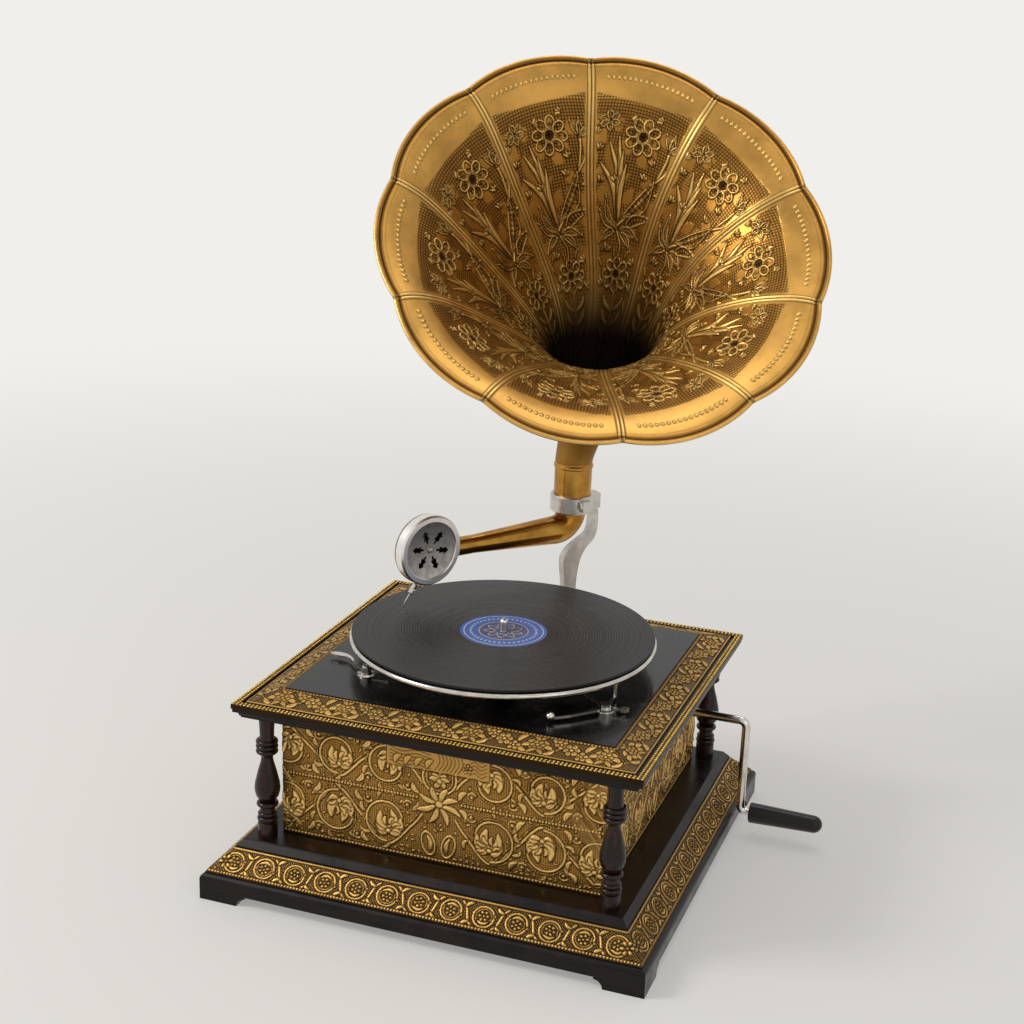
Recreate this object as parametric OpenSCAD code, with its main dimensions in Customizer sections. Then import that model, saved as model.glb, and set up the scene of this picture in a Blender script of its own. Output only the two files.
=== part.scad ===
// Table gramophone with a flower horn, a spring motor, a swinging tone arm and a turned crank.
// Millimetres. +Z is up, the front faces -Y, the crank is on +X, and the origin is the middle of
// the footprint on the table. The turntable spindle stands on the Z axis.

/* [Base] */
// Width of the base slab
base_w = 372; // [364:1:372]
// Depth of the base slab
base_d = 372; // [364:1:384]
// Height of the bracket feet
foot_h = 9; // [7:0.5:12]
// Length of each foot along the slab
foot_l = 40; // [30:1:50]
// Thickness of a foot's two legs
foot_t = 12; // [9:1:16]
// Thickness of the base slab
slab_h = 13.5; // [11:0.5:15]
// Radius of the slab's rounded top edge
slab_nose = 5; // [3:0.5:6]
// Flat margin of the slab outside the sloping band
band_margin = 4; // [3:0.5:6]
// Horizontal run of the sloping band
band_run = 17.5; // [15:0.5:19]
// Rise of the sloping band
band_rise = 16.7; // [14:0.5:18]
// Width of the rails under the sloping band
band_rail = 44; // [40:1:52]
// Height of the stepped moulding
step_h = 7; // [6:0.5:9]
// Run of the stepped moulding's sloping face
step_run = 6.5; // [4:0.5:8]
// Width of the stepped moulding's rails
step_rail = 41; // [38:1:46]

/* [Cabinet] */
// Width of the cabinet over its brass sheets
body_w = 272; // [268:1:274]
// Depth of the cabinet over its brass sheets
body_d = 274; // [270:1:276]
// Height of the cabinet's walls
body_h = 103; // [99:1:108]
// Thickness of the wooden walls
wall_t = 10; // [8:0.5:11]
// Thickness of the brass sheets
sheet_t = 0.8; // [0.5:0.1:1]
// Distance of a column's axis outside the cabinet's corner, in X and in Y
column_out = 9; // [8.5:0.5:10]
// Largest radius of a column's bulb
column_bulb_r = 10.4; // [9:0.2:10.8]
// Radius of a column's neck
column_neck_r = 6; // [5:0.5:7]
// Radius of a column's foot
column_foot_r = 8; // [7:0.5:9]
// Radius of the tenons on a column's ends
tenon_r = 4; // [3:0.5:4.5]
// Length of the tenons on a column's ends
tenon_l = 5; // [3:0.5:6]

/* [Top] */
// Width of the top over its beaded rim
top_w = 337; // [332:1:340]
// Depth of the top over its beaded rim
top_d = 319; // [314:1:322]
// Height of the top frame's moulded edge
top_edge_h = 12; // [10:0.5:14]
// Inset of the top frame's underside from its rim
top_cove = 5; // [3:0.5:6]
// Width of the sloping brass border with its rim
border_w = 31.5; // [28:0.5:33]
// Rise of the border from the rim to the motor board
border_rise = 7.5; // [5:0.5:9]
// Width of the flat beaded rim
bead_rim_w = 5.5; // [4:0.5:7]
// Width of the dark groove inside the rim
rim_groove_w = 2.5; // [1.5:0.5:3]
// Width of the top frame's rails
top_rail = 50; // [46:1:54]
// Thickness of the motor board
board_t = 9; // [8:0.5:10]

/* [Turntable] */
// Radius of the platter over its rolled rim
platter_r = 128; // [127.5:0.5:129]
// Radius of the platter's rolled rim section
platter_bead_r = 2.5; // [2:0.1:3]
// Thickness of the platter's disc
platter_t = 1.5; // [1.2:0.1:2]
// Gap between the motor board and the platter's rim
platter_gap = 17.8; // [16:0.2:20]
// Thickness of the mat
mat_t = 1.5; // [1:0.1:2]
// Radius of the record
record_r = 126.5; // [125:0.5:127]
// Thickness of the record
record_t = 2; // [1.6:0.1:2.4]
// Radius of the record's paper label
label_r = 36.5; // [34:0.5:40]
// Radius of the spindle
spindle_r = 3.6; // [3.4:0.05:3.7]
// Height of the spindle above the record
spindle_tip_h = 11.3; // [8:0.1:14]

/* [Motor] */
// Gap between the motor board and the motor's top plate
motor_drop = 9.5; // [8:0.5:11]
// Height between the motor's plates
motor_h = 57; // [55:1:60]
// Thickness of the motor's plates
plate_t = 3; // [2.5:0.5:4]
// Radius of the pillars between the plates
pillar_r = 4; // [3:0.5:4.5]
// Teeth of the great gear on the spring barrel
great_teeth = 110; // [110]
// Teeth of the spindle's pinion
pinion_teeth = 20; // [20]
// Module of the great gear and the pinion
drive_module = 1; // [1]
// Thickness of the great gear
great_gear_t = 4; // [3:0.5:5]
// Radius of the spring barrel
barrel_r = 40; // [36:1:44]
// Height of the spring barrel below its gear
barrel_h = 22; // [18:1:23]
// Wall of the spring barrel
barrel_wall = 2; // [1.5:0.5:3]
// Turns of the mainspring
spring_turns = 7; // [5:1:8]
// Thickness of the mainspring's strip
spring_t = 0.8; // [0.5:0.1:1]
// Teeth of the winding wheel
winding_teeth = 30; // [30]
// Pitch radius of the winding wheel
winding_wheel_r = 30; // [30]
// Thickness of the winding wheel
winding_wheel_t = 4; // [3:0.5:4.5]
// Starts of the winding worm
winding_starts = 3; // [3]
// Pitch radius of the winding worm
winding_worm_r = 8; // [8]
// Teeth of the governor's driving wheel
governor_teeth = 48; // [48]
// Pitch radius of the governor's driving wheel
governor_wheel_r = 20; // [20]
// Thickness of the governor's driving wheel
governor_wheel_t = 1.5; // [1:0.25:1.5]
// Starts of the governor's worm
governor_starts = 4; // [4]
// Pitch radius of the governor's worm
governor_worm_r = 4.5; // [4.5]
// Radius at which the governor's weights turn
governor_swing = 12; // [11:0.5:13]
// Radius of the governor's friction disc
governor_disc_r = 14; // [12:0.5:15]

/* [Crank] */
// Height of the crank's shaft above the table
crank_z = 107; // [104:1:112]
// Distance of the crank's shaft behind the middle
crank_y = 100; // [98:1:101]
// Distance of the crank's arm from the middle
crank_arm_x = 190.5; // [190.5:0.5:196]
// Length of the crank's arm
crank_arm_l = 85.5; // [75:0.5:87]
// Radius of the crank's rod
crank_rod_r = 3.75; // [3.5:0.05:4]
// Inner radius of the crank's bends
crank_bend = 6; // [5:0.5:9]
// Length of the grip
grip_l = 64; // [55:1:80]
// Radius of the grip at its inner end
grip_r1 = 9; // [8:0.5:10]
// Radius of the grip near its round end
grip_r2 = 7.6; // [7:0.2:8.5]

/* [Tone arm] */
// Distance of the tone arm's pivot behind the spindle
pivot_y = 174; // [172:1:176]
// Angle of the tone arm from straight forwards, towards -X
arm_angle = 37; // [35:1:39]
// Height of the tone arm's tube above the table
arm_z = 235.4; // [235:0.1:236]
// Outer radius of the elbow
elbow_r = 13; // [12:0.5:13]
// Radius of the elbow's bend
elbow_bend = 18.5; // [17:0.5:20]
// Distance of the tube's end from the pivot
arm_l = 109; // [107:1:110]
// Outer radius at the tube's end
arm_end_r = 8; // [7.6:0.1:8.2]
// Wall of the tone arm's tubes
tube_wall = 1.5; // [1.2:0.1:1.8]
// Running clearance of the joints
run_gap = 0.06; // [0.03:0.01:0.09]

/* [Soundbox] */
// Outer radius of the soundbox
soundbox_r = 31; // [30:0.5:31]
// Thickness of the soundbox
soundbox_t = 13; // [12:0.5:13.5]
// Distance of the soundbox's middle from the pivot, along the arm
soundbox_along = 161.8; // [160:0.2:163]
// Height of the soundbox's middle above the table
soundbox_z = 244.6; // [244:0.1:245]
// Distance of the soundbox's face in front of the arm's axis
soundbox_out = 24; // [24:0.5:25]
// Angle between the soundbox's plane and the arm
soundbox_yaw = 5; // [3:1:5]
// Radius of the opening that the grille fills
grille_r = 25; // [23:0.5:26]
// Gap between the needle's tip and the record
needle_gap = 0.3; // [0.2:0.05:0.5]
// Distance of the needle's tip from the pivot, along the arm
needle_along = 184.2; // [182:0.2:186]
// Radius of the needle
needle_r = 0.8; // [0.6:0.05:0.9]

/* [Horn] */
// Outer radius of the horn's mouth at the seams
mouth_r = 184; // [170:1:186]
// Bulge of a petal's edge beyond the seams, as a share of the radius
petal_bulge = 0.032; // [0.01:0.002:0.05]
// Number of petals
petals = 10; // [8:1:12]
// Direction that the mouth faces, from straight forwards towards +X
horn_turn = 26.4; // [0:0.1:40]
// Angle of the mouth's axis above the horizontal
mouth_tilt = 41.3; // [38:0.1:50]
// Distance of the mouth's middle from the base's middle, towards +X
mouth_x = 45.5; // [38:0.5:52]
// Distance of the mouth's middle from the base's middle, towards +Y
mouth_y = 90.2; // [80:0.1:110]
// Height of the mouth's middle above the table
mouth_z = 512.6; // [500:0.1:524]
// How far the mouth's own direction leads the horn's curved axis
mouth_reach = 137.7; // [120:0.1:150]
// How far the neck's upright direction leads the horn's curved axis
neck_reach = 21.8; // [16:0.1:30]
// Outer radius of the horn's neck
neck_r = 17; // [16:0.5:17.5]
// Wall of the horn's neck
neck_wall = 1.1; // [0.8:0.1:1.2]
// Height of the neck's upper end above the table
neck_top_z = 298; // [292:1:304]
// Thickness of the horn's sheet brass
horn_t = 1; // [0.8:0.1:1.2]
// Radius of the wire rolled into the horn's edge
rim_wire_r = 1.6; // [1.2:0.1:2]
// Outer radius of the horn's collar
collar_r = 20; // [19.5:0.5:22]
// Height of the horn's collar
collar_h = 16; // [14:0.5:18]

/* [Hidden] */

$fn = 64;

// Clearance between pieces that only lie against each other
seat_gap = 0.1;

// Levels above the table
slab_z = foot_h;
slope_z = slab_z + slab_h;
slope_lip = 0.8;
slope_top_z = slope_z + slope_lip + band_rise;
step_top_z = slope_top_z + step_h;
body_top_z = step_top_z + body_h;
rim_z = body_top_z + top_edge_h;
board_top_z = rim_z + border_rise;
board_z = board_top_z - board_t;
platter_rim_z = board_top_z + platter_gap + platter_bead_r;
platter_top_z = platter_rim_z + platter_bead_r - 0.5;
mat_top_z = platter_top_z + mat_t;
record_top_z = mat_top_z + record_t;
motor_top_z = board_z - motor_drop;
motor_roof_z = motor_top_z - plate_t;
motor_floor_z = motor_roof_z - motor_h;

black_wood = "#1d1614";
gold_brass = "#b08d3c";
nickel = "#c9c7c2";
steel = "#8d9094";

// Points of an arc
function arc(c, r, a0, a1, n = 8) =
    [for (i = [0:n]) c + r * [cos(a0 + (a1 - a0) * i / n), sin(a0 + (a1 - a0) * i / n)]];

// Point of a cubic curve through four handles
function cubic(p, u) = p[0] * pow(1 - u, 3) + p[1] * 3 * u * pow(1 - u, 2)
    + p[2] * 3 * u * u * (1 - u) + p[3] * pow(u, 3);

// Slope of the same curve
function cubic_slope(p, u) = (p[1] - p[0]) * 3 * pow(1 - u, 2)
    + (p[2] - p[1]) * 6 * u * (1 - u) + (p[3] - p[2]) * 3 * u * u;

function unit(v) = v / norm(v);

// Four mitred rails round a rectangle. The child is a section with x inwards from the outer edge
// and y as the height above the table.
module mitred_rails(w, d, t, spill = 2) {
    for (side = [0:3]) {
        half = (side % 2 == 0 ? w : d) / 2;
        run = (side % 2 == 0 ? d : w) / 2;
        rotate([0, 0, 90 * side])
        intersection() {
            translate([half, 0, 0])
            rotate([90, 0, 0])
            linear_extrude(2 * run + 2 * spill, center = true)
            mirror([1, 0]) children();
            linear_extrude(board_top_z + 20)
            polygon([
                [half + spill, -run - spill], [half + spill, run + spill],
                [half - t, run - t], [half - t, -run + t],
            ]);
        }
    }
}

// A board whose section is the same along X and along Y
module crossed_board(w, d, z0, z1, nose) {
    intersection() {
        rotate([90, 0, 0])
        linear_extrude(d + 2, center = true) nosed_section(w, z0, z1, nose);
        rotate([90, 0, 90])
        linear_extrude(w + 2, center = true) nosed_section(d, z0, z1, nose);
    }
}

module nosed_section(w, z0, z1, nose) {
    polygon(concat(
        [[-w / 2, z0], [w / 2, z0]],
        arc([w / 2 - nose, z1 - nose], nose, 0, 90),
        arc([nose - w / 2, z1 - nose], nose, 90, 180)
    ));
}

module at_corners(x, y) {
    for (sx = [-1, 1], sy = [-1, 1])
        translate([sx * x, sy * y, 0])
        mirror([sx < 0 ? 1 : 0, 0, 0])
        mirror([0, sy < 0 ? 1 : 0, 0]) children();
}

module tube(r, wall, h) {
    rotate_extrude() translate([r - wall, 0]) square([wall, h]);
}

module cone_tube(r1, r2, wall, h) {
    rotate_extrude() polygon([[r1 - wall, 0], [r1, 0], [r2, h], [r2 - wall, h]]);
}

module bent_tube(r, wall, bend, angle) {
    rotate_extrude(angle = angle)
    translate([bend, 0])
    difference() {
        circle(r);
        circle(r - wall);
    }
}

// Base

module bracket_feet() {
    cove_r = 0.8 * foot_h;
    color(black_wood)
    at_corners(base_w / 2, base_d / 2)
    difference() {
        linear_extrude(foot_h)
        polygon([
            [0, 0], [-foot_l, 0], [-foot_l, -foot_t], [-foot_t, -foot_t],
            [-foot_t, -foot_l], [0, -foot_l],
        ]);
        translate([-foot_l, 1, 0]) rotate([90, 0, 0]) cylinder(r = cove_r, h = foot_t + 2);
        translate([1, -foot_l, 0]) rotate([0, -90, 0]) cylinder(r = cove_r, h = foot_t + 2);
    }
}

module base_slab() {
    color(black_wood) crossed_board(base_w, base_d, slab_z, slope_z, slab_nose);
}

band_w = base_w - 2 * band_margin;
band_d = base_d - 2 * band_margin;

module base_slope_rails() {
    color(black_wood)
    mitred_rails(band_w, band_d, band_rail)
    polygon([
        [0, slope_z], [0, slope_z + slope_lip], [band_run, slope_top_z],
        [band_rail, slope_top_z], [band_rail, slope_z],
    ]);
}

// A sheet of thickness t laid on the line from a to b
module sheet_section(a, b, t) {
    n = unit([a[1] - b[1], b[0] - a[0]]) * t;
    polygon([a, b, b + n, a + n]);
}

module base_brass_strips() {
    color(gold_brass)
    mitred_rails(band_w, band_d, band_run)
    sheet_section([0, slope_z + slope_lip], [band_run, slope_top_z], sheet_t);
}

step_gap = 0.3;
step_w = band_w - 2 * band_run - 2 * step_gap;
step_d = band_d - 2 * band_run - 2 * step_gap;
column_x = body_w / 2 + column_out;
column_y = body_d / 2 + column_out;

module step_moulding() {
    edge = 1.5;
    color(black_wood)
    difference() {
        mitred_rails(step_w, step_d, step_rail)
        polygon(concat(
            [[0, slope_top_z], [0, slope_top_z + edge]],
            arc([step_run - 1, step_top_z - 1.5], 1.5, 160, 90, 5),
            [[step_rail, step_top_z], [step_rail, slope_top_z]]
        ));
        at_corners(column_x, column_y)
        translate([0, 0, step_top_z - tenon_l - seat_gap])
        cylinder(r = tenon_r + run_gap, h = tenon_l + 1);
    }
}

// Cabinet

wood_w = body_w - 2 * sheet_t;
wood_d = body_d - 2 * sheet_t;
wall_hole_r = crank_rod_r + 5;

module wall_panel(w, t, h = body_h) {
    translate([-w / 2, 0, step_top_z]) cube([w, t, h]);
}

module crank_hole(r) {
    translate([0, crank_y, crank_z]) rotate([0, 90, 0]) cylinder(r = r, h = body_w);
}

module front_wall() {
    color(black_wood) translate([0, -wood_d / 2, 0]) wall_panel(wood_w, wall_t);
}

module back_wall() {
    color(black_wood)
    difference() {
        translate([0, wood_d / 2 - wall_t, 0]) wall_panel(wood_w, wall_t);
        at_support_screws() cylinder(r = support_screw_r, h = support_screw_l);
    }
}

module side_walls() {
    depth = wood_d - 2 * wall_t;
    color(black_wood)
    difference() {
        for (s = [-1, 1])
            rotate([0, 0, -90 * s])
            translate([0, wood_w / 2 - wall_t, 0]) wall_panel(depth, wall_t);
        crank_hole(wall_hole_r);
    }
}

module front_brass() {
    color(gold_brass) translate([0, -body_d / 2, 0]) wall_panel(body_w, sheet_t);
}

module back_brass() {
    color(gold_brass)
    difference() {
        translate([0, wood_d / 2, 0]) wall_panel(body_w, sheet_t);
        at_support_screws()
        translate([0, 0, -1]) cylinder(r = support_screw_r, h = support_screw_l);
    }
}

module side_brass() {
    color(gold_brass)
    difference() {
        for (s = [-1, 1])
            rotate([0, 0, -90 * s])
            translate([0, wood_w / 2, 0]) wall_panel(wood_d, sheet_t);
        crank_hole(wall_hole_r);
    }
}

// Height up a column as a share of the cabinet's height, and radius there
column_curve = [
    [0, column_foot_r], [0.11, column_foot_r], [0.12, column_foot_r - 1.4],
    [0.16, column_foot_r - 1.8], [0.205, column_foot_r - 1.6], [0.25, column_neck_r],
    [0.285, column_neck_r - 0.4], [0.305, column_neck_r + 0.8], [0.34, column_bulb_r - 1.2],
    [0.38, column_bulb_r - 0.2], [0.41, column_bulb_r], [0.45, column_bulb_r - 0.4],
    [0.50, column_bulb_r - 1.6], [0.55, column_neck_r + 1.6], [0.60, column_neck_r + 0.1],
    [0.64, column_neck_r - 1], [0.67, column_neck_r - 1.2], [0.70, column_neck_r + 0.4],
    [0.82, column_neck_r + 0.4], [0.84, column_neck_r - 0.2], [0.92, column_neck_r],
    [1, column_neck_r + 0.6],
];
// Height share, radius of the ring's middle and radius of its section
column_rings = [
    [0.145, column_foot_r - 1.6, 2.1], [0.185, column_foot_r - 1.9, 1.8],
    [0.27, column_neck_r + 0.7, 2.2], [0.72, column_neck_r + 1, 2],
    [0.76, column_neck_r + 1, 2], [0.80, column_neck_r + 1, 2],
];

module corner_column() {
    h = body_h - 2 * seat_gap;
    translate([0, 0, step_top_z + seat_gap]) {
        rotate_extrude()
        polygon(concat([[0, 0]], [for (p = column_curve) [p[1], p[0] * h]], [[0, h]]));
        for (ring = column_rings)
            translate([0, 0, ring[0] * h])
            rotate_extrude() translate([ring[1], 0]) circle(ring[2], $fn = 32);
        translate([0, 0, -tenon_l]) cylinder(r = tenon_r, h = h + 2 * tenon_l);
    }
}

module corner_columns() {
    color(black_wood)
    for (sx = [-1, 1], sy = [-1, 1])
        translate([sx * column_x, sy * column_y, 0]) corner_column();
}

// Top

board_w = top_w - 2 * border_w;
board_d = top_d - 2 * border_w;

module top_frame() {
    groove = 1;
    color(black_wood)
    difference() {
        mitred_rails(top_w, top_d, top_rail)
        polygon(concat(
            [[top_rail, board_z], [top_rail, body_top_z], [top_cove, body_top_z],
             [top_cove, body_top_z + 1.5]],
            arc([0, body_top_z + 1.5], top_cove - 1, 0, 90, 6),
            [[0, body_top_z + 0.5 + top_cove], [0, rim_z], [bead_rim_w, rim_z],
             [bead_rim_w, rim_z - groove], [bead_rim_w + rim_groove_w, rim_z - groove],
             [bead_rim_w + rim_groove_w, rim_z], [border_w, board_top_z - sheet_t],
             [border_w, board_z]]
        ));
        at_corners(column_x, column_y)
        translate([0, 0, body_top_z - 1])
        cylinder(r = tenon_r + run_gap, h = tenon_l + 1 + seat_gap);
    }
}

module top_brass_border() {
    color(gold_brass) {
        mitred_rails(top_w, top_d, border_w)
        sheet_section(
            [bead_rim_w + rim_groove_w, rim_z], [border_w - 0.2, board_top_z - sheet_t], sheet_t
        );
        mitred_rails(top_w, top_d, bead_rim_w)
        polygon([
            [-sheet_t, rim_z - 3.5], [0, rim_z - 3.5], [0, rim_z], [bead_rim_w, rim_z],
            [bead_rim_w, rim_z + sheet_t], [-sheet_t, rim_z + sheet_t],
        ]);
    }
}

module motor_board() {
    color("#101010")
    difference() {
        translate([0, 0, board_z + board_t / 2])
        cube([board_w - 2 * seat_gap, board_d - 2 * seat_gap, board_t], center = true);
        cylinder(r = spindle_r + 3, h = 2 * board_top_z);
        at_motor_bolts() cylinder(r = bolt_r, h = 2 * board_top_z);
        translate([brake_at[0], brake_at[1], 0]) cylinder(r = post_r, h = 2 * board_top_z);
        translate([speed_at[0], speed_at[1], 0])
        cylinder(r = speed_bush_r, h = 2 * board_top_z);
    }
}

// Turntable

spindle_neck_h = 0.9;
spindle_foot_z = motor_floor_z - plate_t + 1;
pinion_z = motor_roof_z - great_gear_t - 5;
governor_z = motor_floor_z + 19;

// A spur gear's outline with straight flanks and room between the teeth
function gear_outline(teeth, module_, play = 0.3) =
    let (pitch_r = teeth * module_ / 2, step = 360 / teeth)
    [for (i = [0:teeth - 1], p = [[-1.25, 1.2], [0.8, 0.42], [0.8, -0.42], [-1.25, -1.2]])
        let (
            r = pitch_r + p[0] * module_,
            half = (p[1] * module_ - sign(p[1]) * play * module_ / 2) / r * 180 / PI
        )
        r * [cos(i * step - half), sin(i * step - half)]];

module gear(teeth, module_, t, bore) {
    linear_extrude(t)
    difference() {
        polygon(gear_outline(teeth, module_));
        circle(bore);
    }
}

module turntable_spindle() {
    color(steel) {
        translate([0, 0, spindle_foot_z])
        cylinder(r = spindle_r + 0.03, h = record_top_z - spindle_foot_z);
        translate([0, 0, record_top_z])
        cylinder(r = spindle_r - 0.6, h = spindle_neck_h + 0.1);
        translate([0, 0, record_top_z + spindle_neck_h])
        cylinder(r = spindle_r, h = spindle_tip_h - spindle_r - spindle_neck_h);
        translate([0, 0, record_top_z + spindle_tip_h - spindle_r]) sphere(r = spindle_r);
        translate([0, 0, pinion_z - 1])
        rotate([0, 0, mesh_angle])
        linear_extrude(great_gear_t + 2) polygon(gear_outline(pinion_teeth, drive_module));
    }
}

governor_module = 2 * governor_wheel_r / governor_teeth;

module governor_wheel() {
    color("#a8803a")
    translate([0, 0, governor_z - governor_wheel_t / 2])
    rotate([0, 0, -90 + 180 / governor_teeth]) {
        gear(governor_teeth, governor_module, governor_wheel_t, spindle_r + 0.03 + seat_gap / 4);
        translate([0, 0, governor_wheel_t])
        tube(spindle_r + 5, 4.9, 4);
    }
}

hub_h = 11;

module platter() {
    color(nickel)
    rotate_extrude() {
        polygon([
            [spindle_r + 0.06, platter_top_z - hub_h], [spindle_r + 8, platter_top_z - hub_h],
            [spindle_r + 11, platter_top_z - platter_t - 2],
            [spindle_r + 18, platter_top_z - platter_t],
            [platter_r - 2 * platter_bead_r, platter_top_z - platter_t],
            [platter_r - 2 * platter_bead_r, platter_rim_z],
            [platter_r - platter_bead_r, platter_rim_z],
            [platter_r - platter_bead_r, platter_top_z],
            [spindle_r + 0.06, platter_top_z],
        ]);
        translate([platter_r - platter_bead_r, platter_rim_z]) circle(platter_bead_r);
    }
}

module disc_with_hole(r, hole, t) {
    rotate_extrude() translate([hole, 0]) square([r - hole, t]);
}

spindle_hole = spindle_r + 0.09;
label_t = 0.2;

module platter_mat() {
    color("#3a2a26")
    translate([0, 0, platter_top_z]) disc_with_hole(platter_r - 6, spindle_hole, mat_t);
}

module record() {
    edge = 0.4;
    color("#0c0c0d")
    rotate_extrude()
    polygon([
        [spindle_hole, mat_top_z], [record_r - edge, mat_top_z], [record_r, mat_top_z + edge],
        [record_r, record_top_z - edge], [record_r - edge, record_top_z],
        [label_r, record_top_z], [label_r, record_top_z - label_t],
        [spindle_hole, record_top_z - label_t],
    ]);
}

module record_label() {
    color("#2f55a4")
    translate([0, 0, record_top_z - label_t])
    disc_with_hole(label_r - 0.05, spindle_hole, label_t);
}

// Motor

drive_distance = (great_teeth + pinion_teeth) * drive_module / 2;
barrel_y = crank_y - winding_worm_r - winding_wheel_r;
barrel_x = -sqrt(pow(drive_distance, 2) - pow(barrel_y, 2));
mesh_angle = atan2(barrel_y, barrel_x);
barrel_top_z = pinion_z + great_gear_t;
arbor_r = 6;
plate_x0 = barrel_x - 64;
plate_x1 = barrel_x + 64;
plate_y0 = -12;
plate_y1 = crank_y + 8.5;
governor_y = -governor_wheel_r - governor_worm_r;
plate_front_y = governor_y - 12;
pillar_in = 6;
bolt_r = 2.5;
bolt_points = [
    [plate_x0 + 16, 0], [plate_x1 - 16, 0], [plate_x0 + 24, crank_y], [plate_x1 - 16, crank_y],
];

module at_motor_bolts() {
    for (p = bolt_points) translate([p[0], p[1], 0]) children();
}

module at_motor_pillars() {
    for (x = [plate_x0 + pillar_in, plate_x1 - pillar_in], y = [24, crank_y - 16])
        translate([x, y, 0]) children();
}

module motor_top_plate() {
    color(steel)
    difference() {
        translate([plate_x0, plate_y0, motor_roof_z])
        cube([plate_x1 - plate_x0, plate_y1 - plate_y0, plate_t]);
        cylinder(r = spindle_r + 0.03 + run_gap, h = 2 * motor_top_z);
        translate([barrel_x, barrel_y, 0]) cylinder(r = arbor_r + run_gap, h = 2 * motor_top_z);
        at_motor_bolts() cylinder(r = bolt_r, h = 2 * motor_top_z);
    }
}

ear_t = 5;
winding_ears = [barrel_x - 20, barrel_x + 24];
shaft_r = 4;

module motor_bottom_plate() {
    ear_w = 16;
    color(steel)
    difference() {
        union() {
            translate([plate_x0, plate_front_y, motor_floor_z - plate_t])
            cube([plate_x1 - plate_x0, plate_y1 - plate_front_y, plate_t]);
            for (x = winding_ears)
                translate([x - ear_t / 2, crank_y - ear_w / 2, motor_floor_z - 1])
                cube([ear_t, ear_w, crank_z + 8 - motor_floor_z + 1]);
        }
        cylinder(r = spindle_r + 0.03 + run_gap, h = 4 * motor_floor_z, center = true);
        translate([barrel_x, barrel_y, 0])
        cylinder(r = arbor_r + run_gap, h = 4 * motor_floor_z, center = true);
        for (x = winding_ears)
            translate([x - ear_t, crank_y, crank_z])
            rotate([0, 90, 0]) cylinder(r = shaft_r + run_gap, h = 2 * ear_t);
    }
}

module motor_pillars() {
    color(steel)
    at_motor_pillars()
    translate([0, 0, motor_floor_z]) cylinder(r = pillar_r, h = motor_h);
}

module motor_bolts() {
    head_r = 4.5;
    head_h = 2.5;
    color(nickel)
    at_motor_bolts() {
        translate([0, 0, motor_roof_z - 4.5])
        cylinder(r = bolt_r - seat_gap / 4, h = board_top_z - motor_roof_z + 4.5);
        translate([0, 0, board_top_z]) cylinder(r = head_r, h = head_h);
        translate([0, 0, motor_roof_z - 4])
        cylinder(r = head_r, h = 4, $fn = 6);
    }
}

module motor_bushings() {
    color("#2b2b2b")
    at_motor_bolts()
    translate([0, 0, motor_top_z]) tube(7, 7 - bolt_r, motor_drop);
}

module spring_barrel() {
    color("#8f7440")
    translate([barrel_x, barrel_y, 0]) {
        translate([0, 0, pinion_z])
        rotate([0, 0, mesh_angle + 180 + 180 / great_teeth])
        gear(great_teeth, drive_module, great_gear_t, arbor_r + run_gap);
        translate([0, 0, pinion_z - barrel_h]) tube(barrel_r, barrel_wall, barrel_h);
    }
}

cover_t = 1.5;

module barrel_cover() {
    color(steel)
    translate([barrel_x, barrel_y, pinion_z - barrel_h])
    disc_with_hole(barrel_r - barrel_wall - 0.05, arbor_r + run_gap, cover_t);
}

module mainspring() {
    steps = 24 * spring_turns;
    r_in = arbor_r + 3;
    r_out = barrel_r - barrel_wall - spring_t - 0.6;
    points = [for (i = [0:steps])
        let (a = 15 * i, r = r_in + (r_out - r_in) * i / steps) [r, a]];
    color("#4a5560")
    translate([barrel_x, barrel_y, pinion_z - barrel_h + cover_t + 0.5])
    linear_extrude(barrel_h - cover_t - 1)
    polygon(concat(
        [for (p = points) p[0] * [cos(p[1]), sin(p[1])]],
        [for (i = [steps:-1:0])
            let (p = points[i]) (p[0] + spring_t) * [cos(p[1]), sin(p[1])]]
    ));
}

module winding_arbor() {
    color(steel)
    translate([barrel_x, barrel_y, motor_floor_z - plate_t])
    cylinder(r = arbor_r, h = motor_h + 2 * plate_t);
}

winding_module = 2 * winding_wheel_r / winding_teeth;

module winding_wheel() {
    color("#a8803a")
    translate([barrel_x, barrel_y, crank_z - winding_wheel_t / 2])
    rotate([0, 0, 90 + 180 / winding_teeth])
    gear(winding_teeth, winding_module, winding_wheel_t, arbor_r + seat_gap / 4);
}

// A worm's thread along +X as one closed ribbon per start. Where it faces angle, a crest stands at
// x = 0.
module worm_thread(starts, pitch, pitch_r, depth, length, facing) {
    lead = starts * pitch;
    step = 20;
    rings = floor(length / lead * 360 / step);
    section = [
        [-0.17 * pitch, -depth], [-0.09 * pitch, 0.55 * depth],
        [0.09 * pitch, 0.55 * depth], [0.17 * pitch, -depth],
    ];
    for (s = [0:starts - 1]) {
        points = [for (i = [0:rings], q = section)
            let (
                a = (i - rings / 2) * step + facing + 360 * s / starts,
                x = (i - rings / 2) * step / 360 * lead + q[0],
                r = pitch_r + q[1]
            )
            [x, r * cos(a), r * sin(a)]];
        faces = concat(
            [for (i = [0:rings - 1], k = [0:3], half = [0, 1])
                let (a = 4 * i + k, b = 4 * i + (k + 1) % 4)
                half == 0 ? [a, b, b + 4] : [a, b + 4, a + 4]],
            [[3, 2, 1], [3, 1, 0]],
            [[4 * rings, 4 * rings + 1, 4 * rings + 2], [4 * rings, 4 * rings + 2, 4 * rings + 3]]
        );
        polyhedron(points = points, faces = faces, convexity = 10);
    }
}

winding_depth = 2.2;
governor_depth = 1;
socket_x = wood_w / 2 - wall_t - 12;

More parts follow.
